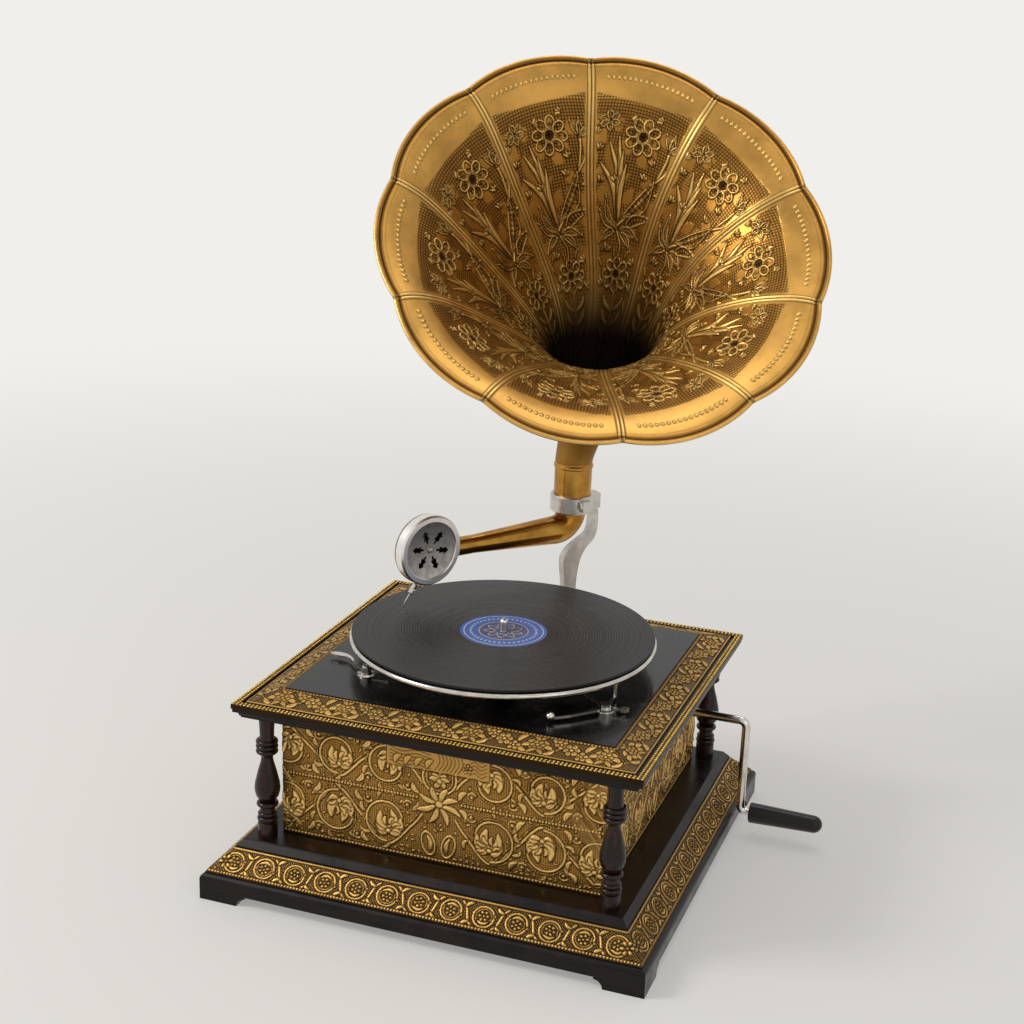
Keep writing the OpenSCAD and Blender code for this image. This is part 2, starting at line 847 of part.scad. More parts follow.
module winding_shaft() {
    shaft_x0 = winding_ears[0] - ear_t;
    socket_l = 20;
    color(steel)
    translate([0, crank_y, crank_z]) {
        translate([shaft_x0, 0, 0])
        rotate([0, 90, 0]) cylinder(r = shaft_r, h = socket_x - socket_l + 1 - shaft_x0);
        translate([barrel_x, 0, 0]) {
            rotate([0, 90, 0])
            cylinder(r = winding_worm_r - winding_depth + 0.2, h = 30, center = true);
            worm_thread(
                winding_starts, PI * winding_module, winding_worm_r, winding_depth, 22, 180
            );
        }
        translate([socket_x - socket_l, 0, 0])
        rotate([0, 90, 0])
        rotate_extrude()
        polygon([
            [0, 0], [crank_rod_r + 3, 0], [crank_rod_r + 3, socket_l + 8],
            [crank_rod_r + 0.05, socket_l + 8], [crank_rod_r + 0.05, 3], [0, 3],
        ]);
    }
}

// Governor

governor_x0 = -64;
governor_x1 = 16;
collar_r_gov = 8;
weights_x0 = -47;
weights_x1 = -19;
disc_x = -52;

module governor_shaft() {
    color(steel)
    translate([0, governor_y, governor_z]) {
        translate([governor_x0, 0, 0])
        rotate([0, 90, 0]) cylinder(r = 2, h = governor_x1 - governor_x0);
        translate([disc_x - 1, 0, 0]) rotate([0, 90, 0]) cylinder(r = 3, h = 60);
        translate([disc_x, 0, 0]) rotate([0, 90, 0]) cylinder(r = governor_disc_r, h = 1.2);
        for (x = [weights_x0 - 3, weights_x1])
            translate([x, 0, 0]) rotate([0, 90, 0]) cylinder(r = collar_r_gov, h = 3);
        worm_thread(
            governor_starts, PI * governor_module, governor_worm_r, governor_depth, 12, 0
        );
        rotate([0, 90, 0])
        cylinder(r = governor_worm_r - governor_depth + 0.1, h = 16, center = true);
    }
}

module governor_weights() {
    leaf_t = 0.5;
    leaf_w = 5;
    mid = (weights_x0 + weights_x1) / 2;
    path = [
        [weights_x0 - 3, collar_r_gov], [weights_x0, collar_r_gov],
        [mid - 5, governor_swing], [mid + 5, governor_swing],
        [weights_x1, collar_r_gov], [weights_x1 + 3, collar_r_gov],
    ];
    color("#a8803a")
    translate([0, governor_y, governor_z])
    for (a = [0:120:240])
        rotate([a, 0, 0]) {
            rotate([90, 0, 0])
            linear_extrude(leaf_w, center = true)
            polygon(concat(
                [for (p = path) p + [0, seat_gap]],
                [for (i = [5:-1:0]) path[i] + [0, leaf_t + seat_gap]]
            ));
            translate([mid - 4, -leaf_w / 2 - 0.5, governor_swing + 0.3])
            cube([8, leaf_w + 1, 3.5]);
        }
}

module governor_bearings() {
    color(steel)
    for (x = [governor_x0 + 4, governor_x1 - 4])
        difference() {
            translate([x - 2.5, governor_y - 6, motor_floor_z])
            cube([5, 12, governor_z + 6 - motor_floor_z]);
            translate([x - 5, governor_y, governor_z])
            rotate([0, 90, 0]) cylinder(r = 2 + run_gap, h = 10);
        }
}

// Crank

grip_x = crank_arm_x + 1.5;
grip_z = crank_z - crank_arm_l;
stub_r = 3;

module bent_rod(r, bend, angle) {
    rotate_extrude(angle = angle) translate([bend, 0]) circle(r);
}

module crank_escutcheon() {
    color(nickel)
    translate([body_w / 2, crank_y, crank_z])
    rotate([0, 90, 0])
    rotate_extrude()
    polygon([
        [crank_rod_r + 1, -6], [wall_hole_r - 0.1, -6], [wall_hole_r - 0.1, 0],
        [wall_hole_r + 4, 0], [wall_hole_r + 3, 1.5], [crank_rod_r + 2, 2.5],
        [crank_rod_r + 1, 2.5],
    ]);
}

module crank_rod() {
    rod_x0 = socket_x - 14;
    color(nickel)
    translate([0, crank_y, crank_z]) {
        translate([rod_x0, 0, 0])
        rotate([0, 90, 0]) cylinder(r = crank_rod_r, h = crank_arm_x - crank_bend - rod_x0);
        translate([crank_arm_x - crank_bend, 0, -crank_bend])
        rotate([90, 0, 0]) bent_rod(crank_rod_r, crank_bend, 90);
        translate([crank_arm_x, 0, -crank_arm_l + crank_bend])
        cylinder(r = crank_rod_r, h = crank_arm_l - 2 * crank_bend);
        translate([crank_arm_x + crank_bend, 0, -crank_arm_l + crank_bend])
        rotate([90, 0, 0]) rotate([0, 0, 180]) bent_rod(crank_rod_r, crank_bend, 90);
        translate([crank_arm_x + crank_bend, 0, -crank_arm_l])
        rotate([0, 90, 0]) cylinder(r = stub_r, h = grip_l - crank_bend - grip_r2);
    }
}

module crank_grip() {
    bore_start = crank_bend + crank_rod_r - 1;
    color("#121212")
    translate([crank_arm_x + bore_start, crank_y, grip_z])
    rotate([0, 90, 0])
    rotate_extrude()
    polygon(concat(
        [[0, grip_l - grip_r2 - 4], [stub_r + run_gap, grip_l - grip_r2 - 4],
         [stub_r + run_gap, 0], [grip_r1 - 1, 0], [grip_r1, 1]],
        arc([0, grip_l - grip_r2], grip_r2, 0, 90, 10)
    ));
}

// Brake and speed levers

brake_at = [111.6, -70.6];
speed_at = [-90.8, -76.2];
post_r = 3;
speed_bush_r = 5;
lever_z = board_top_z + 2.5;
lever_t = 2.5;

module brake_post() {
    color(nickel)
    translate([brake_at[0], brake_at[1], 0]) {
        translate([0, 0, board_z]) cylinder(r = post_r - 0.02, h = lever_z + lever_t + 3 - board_z);
        translate([0, 0, board_top_z]) cylinder(r = 7.5, h = lever_z - board_top_z - seat_gap);
        translate([0, 0, lever_z + lever_t + 2 * seat_gap]) cylinder(r = 4.6, h = 2.8);
    }
}

// Sideways direction of a plan line at its point i, and the outline of a flat bar along that line
function beside(points, i) =
    let (v = points[min(i + 1, len(points) - 1)] - points[max(i - 1, 0)])
    [-v[1], v[0]] / norm(v);

function bar_outline(points, halves) = concat(
    [for (i = [0:len(points) - 1]) points[i] + halves[i] * beside(points, i)],
    [for (i = [len(points) - 1:-1:0]) points[i] - halves[i] * beside(points, i)]
);

shoe_angle = 11;
shoe_gap = 1;
platter_flange_r = platter_r - 2 * platter_bead_r;

module brake_lever() {
    knob = [-33.9, -33.9];
    brake_dir = atan2(brake_at[1], brake_at[0]);
    shoe_r = platter_flange_r - shoe_gap - 3;
    shoe = shoe_r * [cos(brake_dir + shoe_angle), sin(brake_dir + shoe_angle)] - brake_at;
    toe_z = platter_rim_z - platter_bead_r - 2.6 - lever_z;
    color(nickel)
    translate([brake_at[0], brake_at[1], lever_z]) {
        difference() {
            union() {
                cylinder(r = 6.6, h = lever_t);
                translate([0, 0, 0.2])
                linear_extrude(lever_t - 0.4)
                polygon(bar_outline(
                    [[-2, -1], [-12, -14], [-21, -24.5], [-29.5, -31.5], knob],
                    [2.6, 1.3, 1.2, 1.2, 1.2]
                ));
                translate([0, 0, 0.3])
                linear_extrude(lever_t - 0.6) polygon(bar_outline([[1, 0.5], [12, 3.6]], [2, 0.8]));
                translate([0, 0, 0.1])
                linear_extrude(lever_t - 0.8)
                polygon(bar_outline([[-1, 1], [shoe[0] * 0.45, shoe[1] * 0.55], shoe], [2, 1.4, 1.3]));
                translate([0, 0, 0.4])
                linear_extrude(lever_t - 1.2)
                polygon(bar_outline([[-1, 0.5], [-27.6, 21.8]], [1.2, 0.6]));
            }
            translate([0, 0, -1]) cylinder(r = post_r + run_gap, h = lever_t + 2);
        }
        translate([knob[0], knob[1], lever_t / 2 + 1]) sphere(r = 3.4);
        translate([14.2, 4.2, 0.2]) tube(4.1, 1.8, lever_t - 0.4);
        translate([shoe[0], shoe[1], 0])
        rotate_extrude()
        polygon([[0, 0], [2, 0], [2, toe_z - 1], [3, toe_z - 1], [3, toe_z + 3.2], [0, toe_z + 3.2]]);
    }
}

module speed_post() {
    color(nickel)
    translate([speed_at[0], speed_at[1], 0])
    rotate_extrude()
    polygon([
        [post_r + run_gap, board_z], [speed_bush_r, board_z], [speed_bush_r, board_top_z],
        [7.5, board_top_z], [7, board_top_z + 1.6], [post_r + run_gap, board_top_z + 1.6],
    ]);
}

pad_gap = 0.3;

module speed_lever() {
    hub_h = 7;
    under_z = board_z - 4.5;
    finger = [disc_x - pad_gap - 1.6 - speed_at[0], governor_y - speed_at[1]];
    finger_z = governor_z + governor_disc_r - 3;
    color(nickel)
    translate([speed_at[0], speed_at[1], 0]) {
        translate([0, 0, under_z]) cylinder(r = post_r, h = lever_z + hub_h - under_z);
        translate([0, 0, board_top_z + 1.8]) cylinder(r = 5, h = hub_h - 2);
        translate([0, 0, lever_z + 0.4])
        linear_extrude(1.6)
        polygon(bar_outline(
            [[0, 0], [-8, 3.5], [-15, 10], [-21, 17], [-25, 19.6], [-29, 20.6], [-34, 21.1],
             [-38.5, 21.2], [-42, 20.8]],
            [1.4, 1.2, 1.1, 1.2, 2, 3.2, 3.6, 2.8, 0.4]
        ));
        translate([0, 0, lever_z + 0.5])
        linear_extrude(1.4) polygon(bar_outline([[0, 0], [10, 0.3], [19.3, 0.7]], [1, 0.7, 0.7]));
        translate([19.3, 0.7, lever_z]) cylinder(r = 1.6, h = 2.2);
        translate([0, 0, under_z + 0.5])
        linear_extrude(2.5) polygon(bar_outline([[-1, -1], finger / 2, finger], [5, 3.5, 2]));
        translate([finger[0] - 1.6, finger[1] - 1.5, finger_z])
        cube([2.9, 3, under_z + 2 - finger_z]);
    }
}

// Support arm and collar

collar_z = 252.4;
collar_shelf = 5.6;
support_dir = 40;
support_t = 8;
support_screw_r = 2.2;
support_screw_l = 10;
lug_s0 = collar_r - 1.5;
lug_s1 = collar_r + 7;
foot_plate_t = 4;
foot_plate_w = 30;
foot_plate_z0 = body_top_z - 50;
foot_plate_h = 46;

module at_support_screws() {
    for (z = [foot_plate_z0 + 9, foot_plate_z0 + foot_plate_h - 9], x = [-10, 10])
        translate([x, body_d / 2 + foot_plate_t, z])
        rotate([90, 0, 0])
        translate([0, 0, 0]) children();
}

// Side of the cast arm: handles of its two edges, as distance behind the pivot and height
arm_bottom_z = body_top_z - 34;

module support_arm_side() {
    back = concat(
        [[5.5, arm_bottom_z]],
        [for (u = [0:0.1:1]) cubic([[5.5, 176], [6, 200], [10, 212], [20, 219]], u)],
        [for (u = [0.1:0.1:1]) cubic([[20, 219], [27, 224], [28, 238], [lug_s1 - 1, collar_z - 0.1]], u)]
    );
    front = concat(
        [for (u = [0:0.1:1])
            cubic([[lug_s0 + 1, collar_z - 0.1], [19, 240], [20, 229], [13, 226]], u)],
        [for (u = [0.1:0.1:1]) cubic([[13, 226], [2, 220], [-8, 214], [-9, 206]], u)],
        [for (u = [0.1:0.1:1]) cubic([[-9, 206], [-9.5, 196], [-7, 190], [-6.5, 174]], u)],
        [[-6.5, arm_bottom_z]]
    );
    polygon(concat(back, front));
}

module support_arm() {
    color("#a9a9a6") {
        translate([0, pivot_y, 0])
        rotate([0, 0, 90 - support_dir])
        rotate([90, 0, 0])
        linear_extrude(support_t, center = true) support_arm_side();
        translate([-support_t / 2, body_d / 2 + foot_plate_t - 1, arm_bottom_z])
        cube([support_t, pivot_y - body_d / 2 - foot_plate_t + 1, 22]);
        difference() {
            translate([-foot_plate_w / 2, body_d / 2, foot_plate_z0])
            cube([foot_plate_w, foot_plate_t, foot_plate_h]);
            at_support_screws()
            translate([0, 0, -1]) cylinder(r = support_screw_r, h = support_screw_l);
        }
    }
}

module support_screws() {
    color(steel)
    at_support_screws() {
        cylinder(r = support_screw_r - seat_gap / 4, h = support_screw_l - 0.2);
        translate([0, 0, -2]) cylinder(r1 = 3, r2 = 4.2, h = 2);
    }
}

clamp_dir = -40;
clamp_screw_r = 2;
clamp_head_r = 2.9;

module horn_collar() {
    color("#c4c4c2")
    translate([0, pivot_y, collar_z]) {
        rotate_extrude()
        polygon([
            [elbow_r + run_gap, 2.4], [elbow_r + run_gap + 0.8, 0], [collar_r - 1, 0], [collar_r, 1], [collar_r, collar_h - 1],
            [collar_r - 1, collar_h], [neck_r + run_gap, collar_h],
            [neck_r + run_gap, collar_shelf], [elbow_r + run_gap, collar_shelf],
        ]);
        rotate([0, 0, 90 - support_dir])
        difference() {
            translate([lug_s0, -6, 0]) cube([lug_s1 - lug_s0, 12, collar_h - 2]);
            translate([0, 0, -1]) cylinder(r = collar_r - 0.5, h = collar_h);
        }
        rotate([0, 0, clamp_dir])
        difference() {
            translate([lug_s0, -4, 4]) cube([7, 8, collar_h - 6]);
            translate([0, 0, -1]) cylinder(r = collar_r - 0.5, h = collar_h + 2);
            translate([collar_r + 2.6, 5, 4 + (collar_h - 6) / 2])
            rotate([90, 0, 0]) cylinder(r = clamp_screw_r, h = 10);
        }
    }
}

module collar_screw() {
    color(steel)
    translate([0, pivot_y, collar_z])
    rotate([0, 0, clamp_dir])
    translate([collar_r + 2.6, 0, 4 + (collar_h - 6) / 2])
    rotate([90, 0, 0]) {
        translate([0, 0, -5]) cylinder(r = clamp_screw_r - seat_gap / 4, h = 9.2);
        translate([0, 0, 4 + seat_gap]) cylinder(r = clamp_head_r, h = 2);
    }
}

// Tone arm. Its frame has the pivot at the origin, the tube along -Y and the soundbox's face on +X.
module in_arm_frame() {
    translate([0, pivot_y, 0]) rotate([0, 0, -arm_angle]) children();
}

elbow_top_z = arm_z + elbow_bend;
flange_z = collar_z + collar_shelf + seat_gap;
spigot_l = 10;

module tone_arm() {
    taper_l = arm_l - elbow_bend;
    color(gold_brass)
    in_arm_frame() {
        translate([0, 0, elbow_top_z]) tube(elbow_r, tube_wall, flange_z + 4 - elbow_top_z);
        translate([0, 0, flange_z])
        tube(neck_r - neck_wall - 0.35, neck_r - neck_wall - 0.35 - elbow_r + 0.5, 1.4);
        translate([0, -elbow_bend, elbow_top_z])
        rotate([0, 90, 0]) bent_tube(elbow_r, tube_wall, elbow_bend, 90);
        translate([0, -elbow_bend, arm_z])
        rotate([90, 0, 0]) cone_tube(elbow_r, arm_end_r, tube_wall, taper_l);
    }
}

neck2_r = arm_end_r + 0.25;
goose_r = 5.5;
goose_wall = 1;
goose_lift = 25;
goose_bend1 = 14;
goose_bend2 = 8.5;
goose_turn = 90 + soundbox_yaw;
goose_rise = soundbox_z - arm_z;
goose_straight = (goose_rise - goose_bend1 * (1 - cos(goose_lift))
    - goose_bend2 * sin(goose_turn) * sin(goose_lift)) / sin(goose_lift);
inlet_w = soundbox_t + 0.2;
inlet_along = soundbox_along + inlet_w * sin(soundbox_yaw);
goose_start = inlet_along - goose_bend1 * sin(goose_lift)
    - goose_straight * cos(goose_lift) - goose_bend2 * sin(goose_turn) * cos(goose_lift);

sleeve_l = 17;
goose_x0 = arm_l + seat_gap;
goose_taper_to = goose_start - 3;
goose_inlet = 3;

// Middle, direction and side of the gooseneck's bends at a list of stations
function goose_path() =
    let (
        x = [1, 0, 0],
        lift = [0, -cos(goose_lift), sin(goose_lift)],
        foot = [0, -goose_start, arm_z],
        bent = foot + goose_bend1 * [0, -sin(goose_lift), 1 - cos(goose_lift)],
        top = bent + goose_straight * lift,
        end_dir = cos(goose_turn) * lift + sin(goose_turn) * x,
        end = top + goose_bend2 * ((1 - cos(goose_turn)) * x + sin(goose_turn) * lift)
    )
    concat(
        [[foot + [0, 2, 0], [0, -1, 0], x]],
        [for (i = [0:5]) let (a = goose_lift * i / 5)
            [foot + goose_bend1 * [0, -sin(a), 1 - cos(a)], [0, -cos(a), sin(a)], x]],
        [for (i = [0:10]) let (a = goose_turn * i / 10)
            [top + goose_bend2 * ((1 - cos(a)) * x + sin(a) * lift),
             cos(a) * lift + sin(a) * x, cos(a) * x - sin(a) * lift]],
        [[end + goose_inlet * end_dir, end_dir, cos(goose_turn) * x - sin(goose_turn) * lift]]
    );

// A closed tube along a path of stations, in flat facets
module swept_tube(path, r_out, r_in, sides = 24) {
    n = len(path);
    points = [for (k = [0:2 * n - 1], s = [0:sides - 1])
        let (
            p = path[k < n ? k : 2 * n - 1 - k], r = k < n ? r_out : r_in, b = 360 * s / sides
        )
        p[0] + r * (cos(b) * p[2] + sin(b) * cross(p[1], p[2]))];
    faces = [for (k = [0:2 * n - 1], s = [0:sides - 1], h = [0, 1])
        let (
            a = k * sides + s, b = k * sides + (s + 1) % sides,
            c = ((k + 1) % (2 * n)) * sides + s, d = ((k + 1) % (2 * n)) * sides + (s + 1) % sides
        )
        h == 0 ? [a, d, b] : [a, c, d]];
    polyhedron(points = points, faces = faces, convexity = 8);
}

module gooseneck() {
    bore = arm_end_r - tube_wall - run_gap;
    color(gold_brass)
    in_arm_frame() {
        translate([0, -goose_x0, arm_z])
        rotate([90, 0, 0])
        rotate_extrude()
        polygon([
            [bore - goose_wall, -spigot_l], [bore, -spigot_l], [bore, 0], [neck2_r, 0],
            [neck2_r, sleeve_l], [goose_r, goose_taper_to - goose_x0],
            [goose_r, goose_start - goose_x0 - 0.5],
            [goose_r - goose_wall, goose_start - goose_x0 - 0.5],
            [goose_r - goose_wall, goose_taper_to - goose_x0],
            [bore - goose_wall, sleeve_l],
        ]);
        swept_tube(goose_path(), goose_r + 0.1, goose_r - goose_wall + 0.1);
    }
}

// Soundbox. Its frame has the middle of its face at the origin, the face on +X and the needle
// below on the -Y side.
module in_soundbox_frame() {
    in_arm_frame()
    translate([soundbox_out, -soundbox_along, soundbox_z])
    rotate([0, 0, soundbox_yaw]) children();
}

// A body of revolution about the soundbox's axis. The child's x is the radius and its y is the
// distance in front of the face.
module about_soundbox_axis() {
    in_soundbox_frame() rotate([0, 90, 0]) rotate_extrude() children();
}

back_t = 1.6;
gasket_t = 1.2;
shell_w = soundbox_t - back_t - gasket_t;
inlet_boss_r = goose_r + 2;

module soundbox_back() {
    bore = goose_r + 0.35;
    color(nickel)
    about_soundbox_axis()
    polygon([
        [bore, -soundbox_t - 2], [inlet_boss_r + 1, -soundbox_t - 2], [inlet_boss_r + 2, -soundbox_t],
        [soundbox_r - 2.5, -soundbox_t], [soundbox_r - 0.6, -soundbox_t + 0.6],
        [soundbox_r - 0.6, -soundbox_t + back_t], [bore, -soundbox_t + back_t],
    ]);
}

module soundbox_gasket() {
    color("#161616")
    about_soundbox_axis()
    translate([soundbox_r - 6, -soundbox_t + back_t + 0.05])
    square([4.8, gasket_t - 0.1]);
}

shell_in_r = soundbox_r - 3;
slot_w = 4;

module soundbox_ring() {
    color(nickel)
    difference() {
        about_soundbox_axis()
        polygon([
            [shell_in_r, -shell_w], [soundbox_r - 0.5, -shell_w], [soundbox_r, -shell_w + 0.5],
            [soundbox_r, -1.5], [soundbox_r - 1.5, 0], [grille_r + 0.8, 0], [grille_r, -0.8],
            [grille_r, -2.6], [shell_in_r, -2.6],
        ]);
        in_soundbox_frame()
        rotate([chuck_rim_angle, 0, 0])
        translate([-shell_w - 1, -slot_w / 2, -soundbox_r - 1])
        cube([slot_w + 1, slot_w, 6]);
    }
}

module diaphragm() {
    color("#c8b690")
    about_soundbox_axis()
    translate([0, -shell_w + 0.6]) square([shell_in_r - 0.3, 0.3]);
}

grille_t = 0.8;
slots = 6;

module soundbox_grille() {
    dish = 2.2;
    color("#9a9a98")
    difference() {
        about_soundbox_axis()
        polygon(concat(
            [for (i = [0:8]) let (r = grille_r - 0.1 - (grille_r - 0.1) * i / 8)
                [r, -0.9 - dish * (1 - pow(r / grille_r, 2))]],
            [for (i = [8:-1:0]) let (r = grille_r - 0.1 - (grille_r - 0.1) * i / 8)
                [r, -0.9 - grille_t - dish * (1 - pow(r / grille_r, 2))]]
        ));
        in_soundbox_frame()
        for (k = [0:slots - 1])
            rotate([360 / slots * (k + 0.35), 0, 0])
            rotate([90, 0, 90])
            linear_extrude(12, center = true)
            polygon([
                [-0.9, 6.5], [0.9, 6.5], [1.1, 10], [3, 9.6], [2.2, 13], [1.6, 14], [3.4, 15.2],
                [0, 19], [-3.4, 15.2], [-1.6, 14], [-2.2, 13], [-3, 9.6], [-1.1, 10],
            ]);
    }
    color(steel)
    about_soundbox_axis()
    polygon([
        [0, -0.9 - dish], [2.6, -0.9 - dish], [2, 0.4 - dish], [0, 0.7 - dish],
    ]);
}

// Places on the needle's line in the soundbox's frame
chuck_rim_angle = -20;
chuck_w = -shell_w + 2.2;
rim_point = [
    chuck_w, -(soundbox_r + 0.8) * sin(-chuck_rim_angle), -(soundbox_r + 0.8) * cos(chuck_rim_angle),
];
tip_offset = 14.5;
tip_arm = [
    tip_offset - soundbox_out, -(needle_along - soundbox_along),
    record_top_z + needle_gap - soundbox_z,
];
tip_point = [
    tip_arm[0] * cos(soundbox_yaw) + tip_arm[1] * sin(soundbox_yaw),
    -tip_arm[0] * sin(soundbox_yaw) + tip_arm[1] * cos(soundbox_yaw),
    tip_arm[2],
];
needle_dir = unit(tip_point - rim_point);
needle_total = norm(tip_point - rim_point);
chuck_l = 10;
chuck_r = 2.3;

module along_needle(at) {
    in_soundbox_frame()
    translate(rim_point + needle_dir * at)
    rotate([0, acos(needle_dir[2]), atan2(needle_dir[1], needle_dir[0])]) children();
}

module stylus_bar() {
    bar_z = -shell_w + 1.9;
    color(nickel) {
        difference() {
            along_needle(0) {
                rotate_extrude()
                polygon([
                    [0, 0], [chuck_r - 0.6, 0], [chuck_r, 0.8], [chuck_r, chuck_l - 1],
                    [chuck_r - 0.8, chuck_l], [needle_r + 0.04, chuck_l],
                    [needle_r + 0.04, chuck_l - 7], [0, chuck_l - 7],
                ]);
            }
            along_needle(chuck_l - 3.5)
            rotate([0, 90, screw_side]) cylinder(r = screw_r + run_gap, h = 6);
        }
        in_soundbox_frame()
        rotate([chuck_rim_angle, 0, 0])
        translate([bar_z, -0.8, -soundbox_r - 1.2]) cube([1.4, 1.6, soundbox_r - 1]);
    }
}

screw_r = 1.1;
screw_side = 90;

module needle() {
    color("#d8d8d8")
    along_needle(chuck_l - 6.9)
    rotate_extrude()
    polygon([
        [0, 0], [needle_r, 0], [needle_r, needle_total - chuck_l + 2.5], [0.12, needle_total - chuck_l + 6.9],
        [0, needle_total - chuck_l + 6.9],
    ]);
}

module needle_screw() {
    color(nickel)
    along_needle(chuck_l - 3.5)
    rotate([0, 90, screw_side])
    translate([0, 0, needle_r + 0.15]) {
        cylinder(r = screw_r, h = 5);
        translate([0, 0, 4]) cylinder(r = 2.4, h = 2.6, $fn = 24);
    }
}

// Horn

rim_reach = 2 * rim_wire_r + 0.05;
neck_in_r = neck_r - horn_t;
mouth_way = [
    sin(horn_turn) * cos(mouth_tilt), -cos(horn_turn) * cos(mouth_tilt), sin(mouth_tilt),
];
mouth_up = [
    -sin(horn_turn) * sin(mouth_tilt), cos(horn_turn) * sin(mouth_tilt), cos(mouth_tilt),
];
mouth_at = [mouth_x, mouth_y, mouth_z];
neck_end = [0, pivot_y, neck_top_z];
// Handles of the curved axis, from the mouth to the neck
horn_path = [
    mouth_at, mouth_at - mouth_reach * mouth_way, [34.4, pivot_y + 20, 420],
    neck_end + [0, 0, neck_reach], neck_end,
];
// Share of the axis and radius of the sheet's inner face, from the edge of the petals to the neck
horn_handles = [[0, mouth_r - rim_reach], [0.01, 0.54 * mouth_r], [0.45, 15.5], [1, neck_in_r]];
petal_end = 0.86;
petal_steps = 12;
petal_cross = 6;

// Point of the curved axis at a share v of it, and its slope there
function horn_axis(v) = horn_path[0] * pow(1 - v, 4) + horn_path[1] * 4 * v * pow(1 - v, 3)
    + horn_path[2] * 6 * v * v * pow(1 - v, 2) + horn_path[3] * 4 * pow(v, 3) * (1 - v)
    + horn_path[4] * pow(v, 4);

function horn_slope(v) = 4 * (
    (horn_path[1] - horn_path[0]) * pow(1 - v, 3)
    + (horn_path[2] - horn_path[1]) * 3 * v * pow(1 - v, 2)
    + (horn_path[3] - horn_path[2]) * 3 * v * v * (1 - v)
    + (horn_path[4] - horn_path[3]) * pow(v, 3)
);

// Point of the horn at a share u of its sheet, at an angle a clockwise from the top seen from the
// front. It is moved by a distance along the sheet and a distance out behind its inner face.
function horn_point(u, a, swell = 1, along = 0, out = 0) =
    let (
        h = cubic(horn_handles, u),
        hs = cubic_slope(horn_handles, u),
        slope = horn_slope(h[0]),
        d = unit(slope),
        up = unit(mouth_up - d * (d * mouth_up)),
        way = cos(a) * up + sin(a) * cross(d, up),
        s = unit([norm(slope) * hs[0], hs[1]])
    )
    horn_axis(h[0]) + d * (along * s[0] - out * s[1])
        + way * (h[1] * swell + along * s[1] + out * s[0]);

// Bulge of the petals at a share u of the length and q from -1 to 1 across the petal
function bulge(u, q) = 1 + petal_bulge * pow(1 - u, 3) * (1 - q * q);

function petal_point(u, q, middle, out) =
    horn_point(u, middle + q * (180 / petals - 0.05), bulge(u, q), 0, out);

module horn_petal(k) {
    middle = (k + 0.5) * 360 / petals;
    n = petal_cross + 1;
    count = n * (petal_steps + 1);
    points = [for (out = [0, horn_t], i = [0:petal_steps], j = [0:petal_cross])
        petal_point(petal_end * i / petal_steps, 2 * j / petal_cross - 1, middle, out)];
    inner = [for (i = [0:petal_steps - 1], j = [0:petal_cross - 1], h = [0, 1])
        let (a = i * n + j) h == 0 ? [a, a + n, a + n + 1] : [a, a + n + 1, a + 1]];
    outer = [for (f = inner) [count + f[2], count + f[1], count + f[0]]];
    edge = concat(
        [for (j = [0:petal_cross - 1]) [j, j + 1]],
        [for (i = [0:petal_steps - 1]) [i * n + petal_cross, (i + 1) * n + petal_cross]],
        [for (j = [petal_cross:-1:1]) [petal_steps * n + j, petal_steps * n + j - 1]],
        [for (i = [petal_steps:-1:1]) [i * n, (i - 1) * n]]
    );
    rim = [for (e = edge, h = [0, 1])
        h == 0 ? [e[0], e[1], count + e[1]] : [e[0], count + e[1], count + e[0]]];
    polyhedron(points = points, faces = concat(inner, outer, rim), convexity = 6);
}

module horn_petals() {
    color(gold_brass)
    for (k = [0:petals - 1]) horn_petal(k);
}

module horn_throat() {
    steps = 4;
    around = 40;
    u0 = petal_end + 0.003;
    u1 = 0.9995;
    rows = [for (i = [0:steps]) u0 + (u1 - u0) * i / steps];
    rings = concat([for (u = rows) [u, 0]], [for (i = [steps:-1:0]) [rows[i], horn_t]]);
    m = len(rings);
    points = [for (p = rings, j = [0:around - 1]) horn_point(p[0], 360 * j / around, 1, 0, p[1])];
    faces = [for (i = [0:m - 1], j = [0:around - 1], h = [0, 1])
        let (
            a = i * around + j, b = i * around + (j + 1) % around,
            c = ((i + 1) % m) * around + j, d = ((i + 1) % m) * around + (j + 1) % around
        )
        h == 0 ? [a, d, b] : [a, c, d]];
    color(gold_brass) polyhedron(points = points, faces = faces, convexity = 6);
}

module horn_neck() {
    neck_z = collar_z + collar_shelf + 3 * seat_gap;
    band_z = neck_top_z - 1;
    color(gold_brass)
    translate([0, pivot_y, 0])
    rotate_extrude()
    polygon([
        [neck_r - neck_wall, neck_z], [neck_r, neck_z], [neck_r, band_z - 4],
        [neck_r + 0.9, band_z - 3], [neck_r + 0.9, band_z - 1], [neck_r, band_z],
        [neck_r, neck_top_z], [neck_r - horn_t, neck_top_z], [neck_r - neck_wall, band_z - 4],
    ]);
}

module horn_rim_wire() {
    per_petal = 10;
    sides = 6;
    rings = petals * per_petal;
    points = [for (i = [0:rings - 1], s = [0:sides - 1])
        let (
            k = floor(i / per_petal), q = 2 * (i % per_petal) / per_petal - 1,
            a = (k + 0.5 + q / 2) * 360 / petals,
            b = 360 * s / sides
        )
        horn_point(
            0, a, bulge(0, q),
            -rim_wire_r - 0.05 - rim_wire_r * cos(b), 0.5 * horn_t + rim_wire_r * sin(b)
        )];
    faces = [for (i = [0:rings - 1], s = [0:sides - 1], h = [0, 1])
        let (
            a = i * sides + s, b = i * sides + (s + 1) % sides,
            c = ((i + 1) % rings) * sides + s, d = ((i + 1) % rings) * sides + (s + 1) % sides
        )
        h == 0 ? [a, b, d] : [a, d, c]];
    color(gold_brass) polyhedron(points = points, faces = faces, convexity = 6);
}

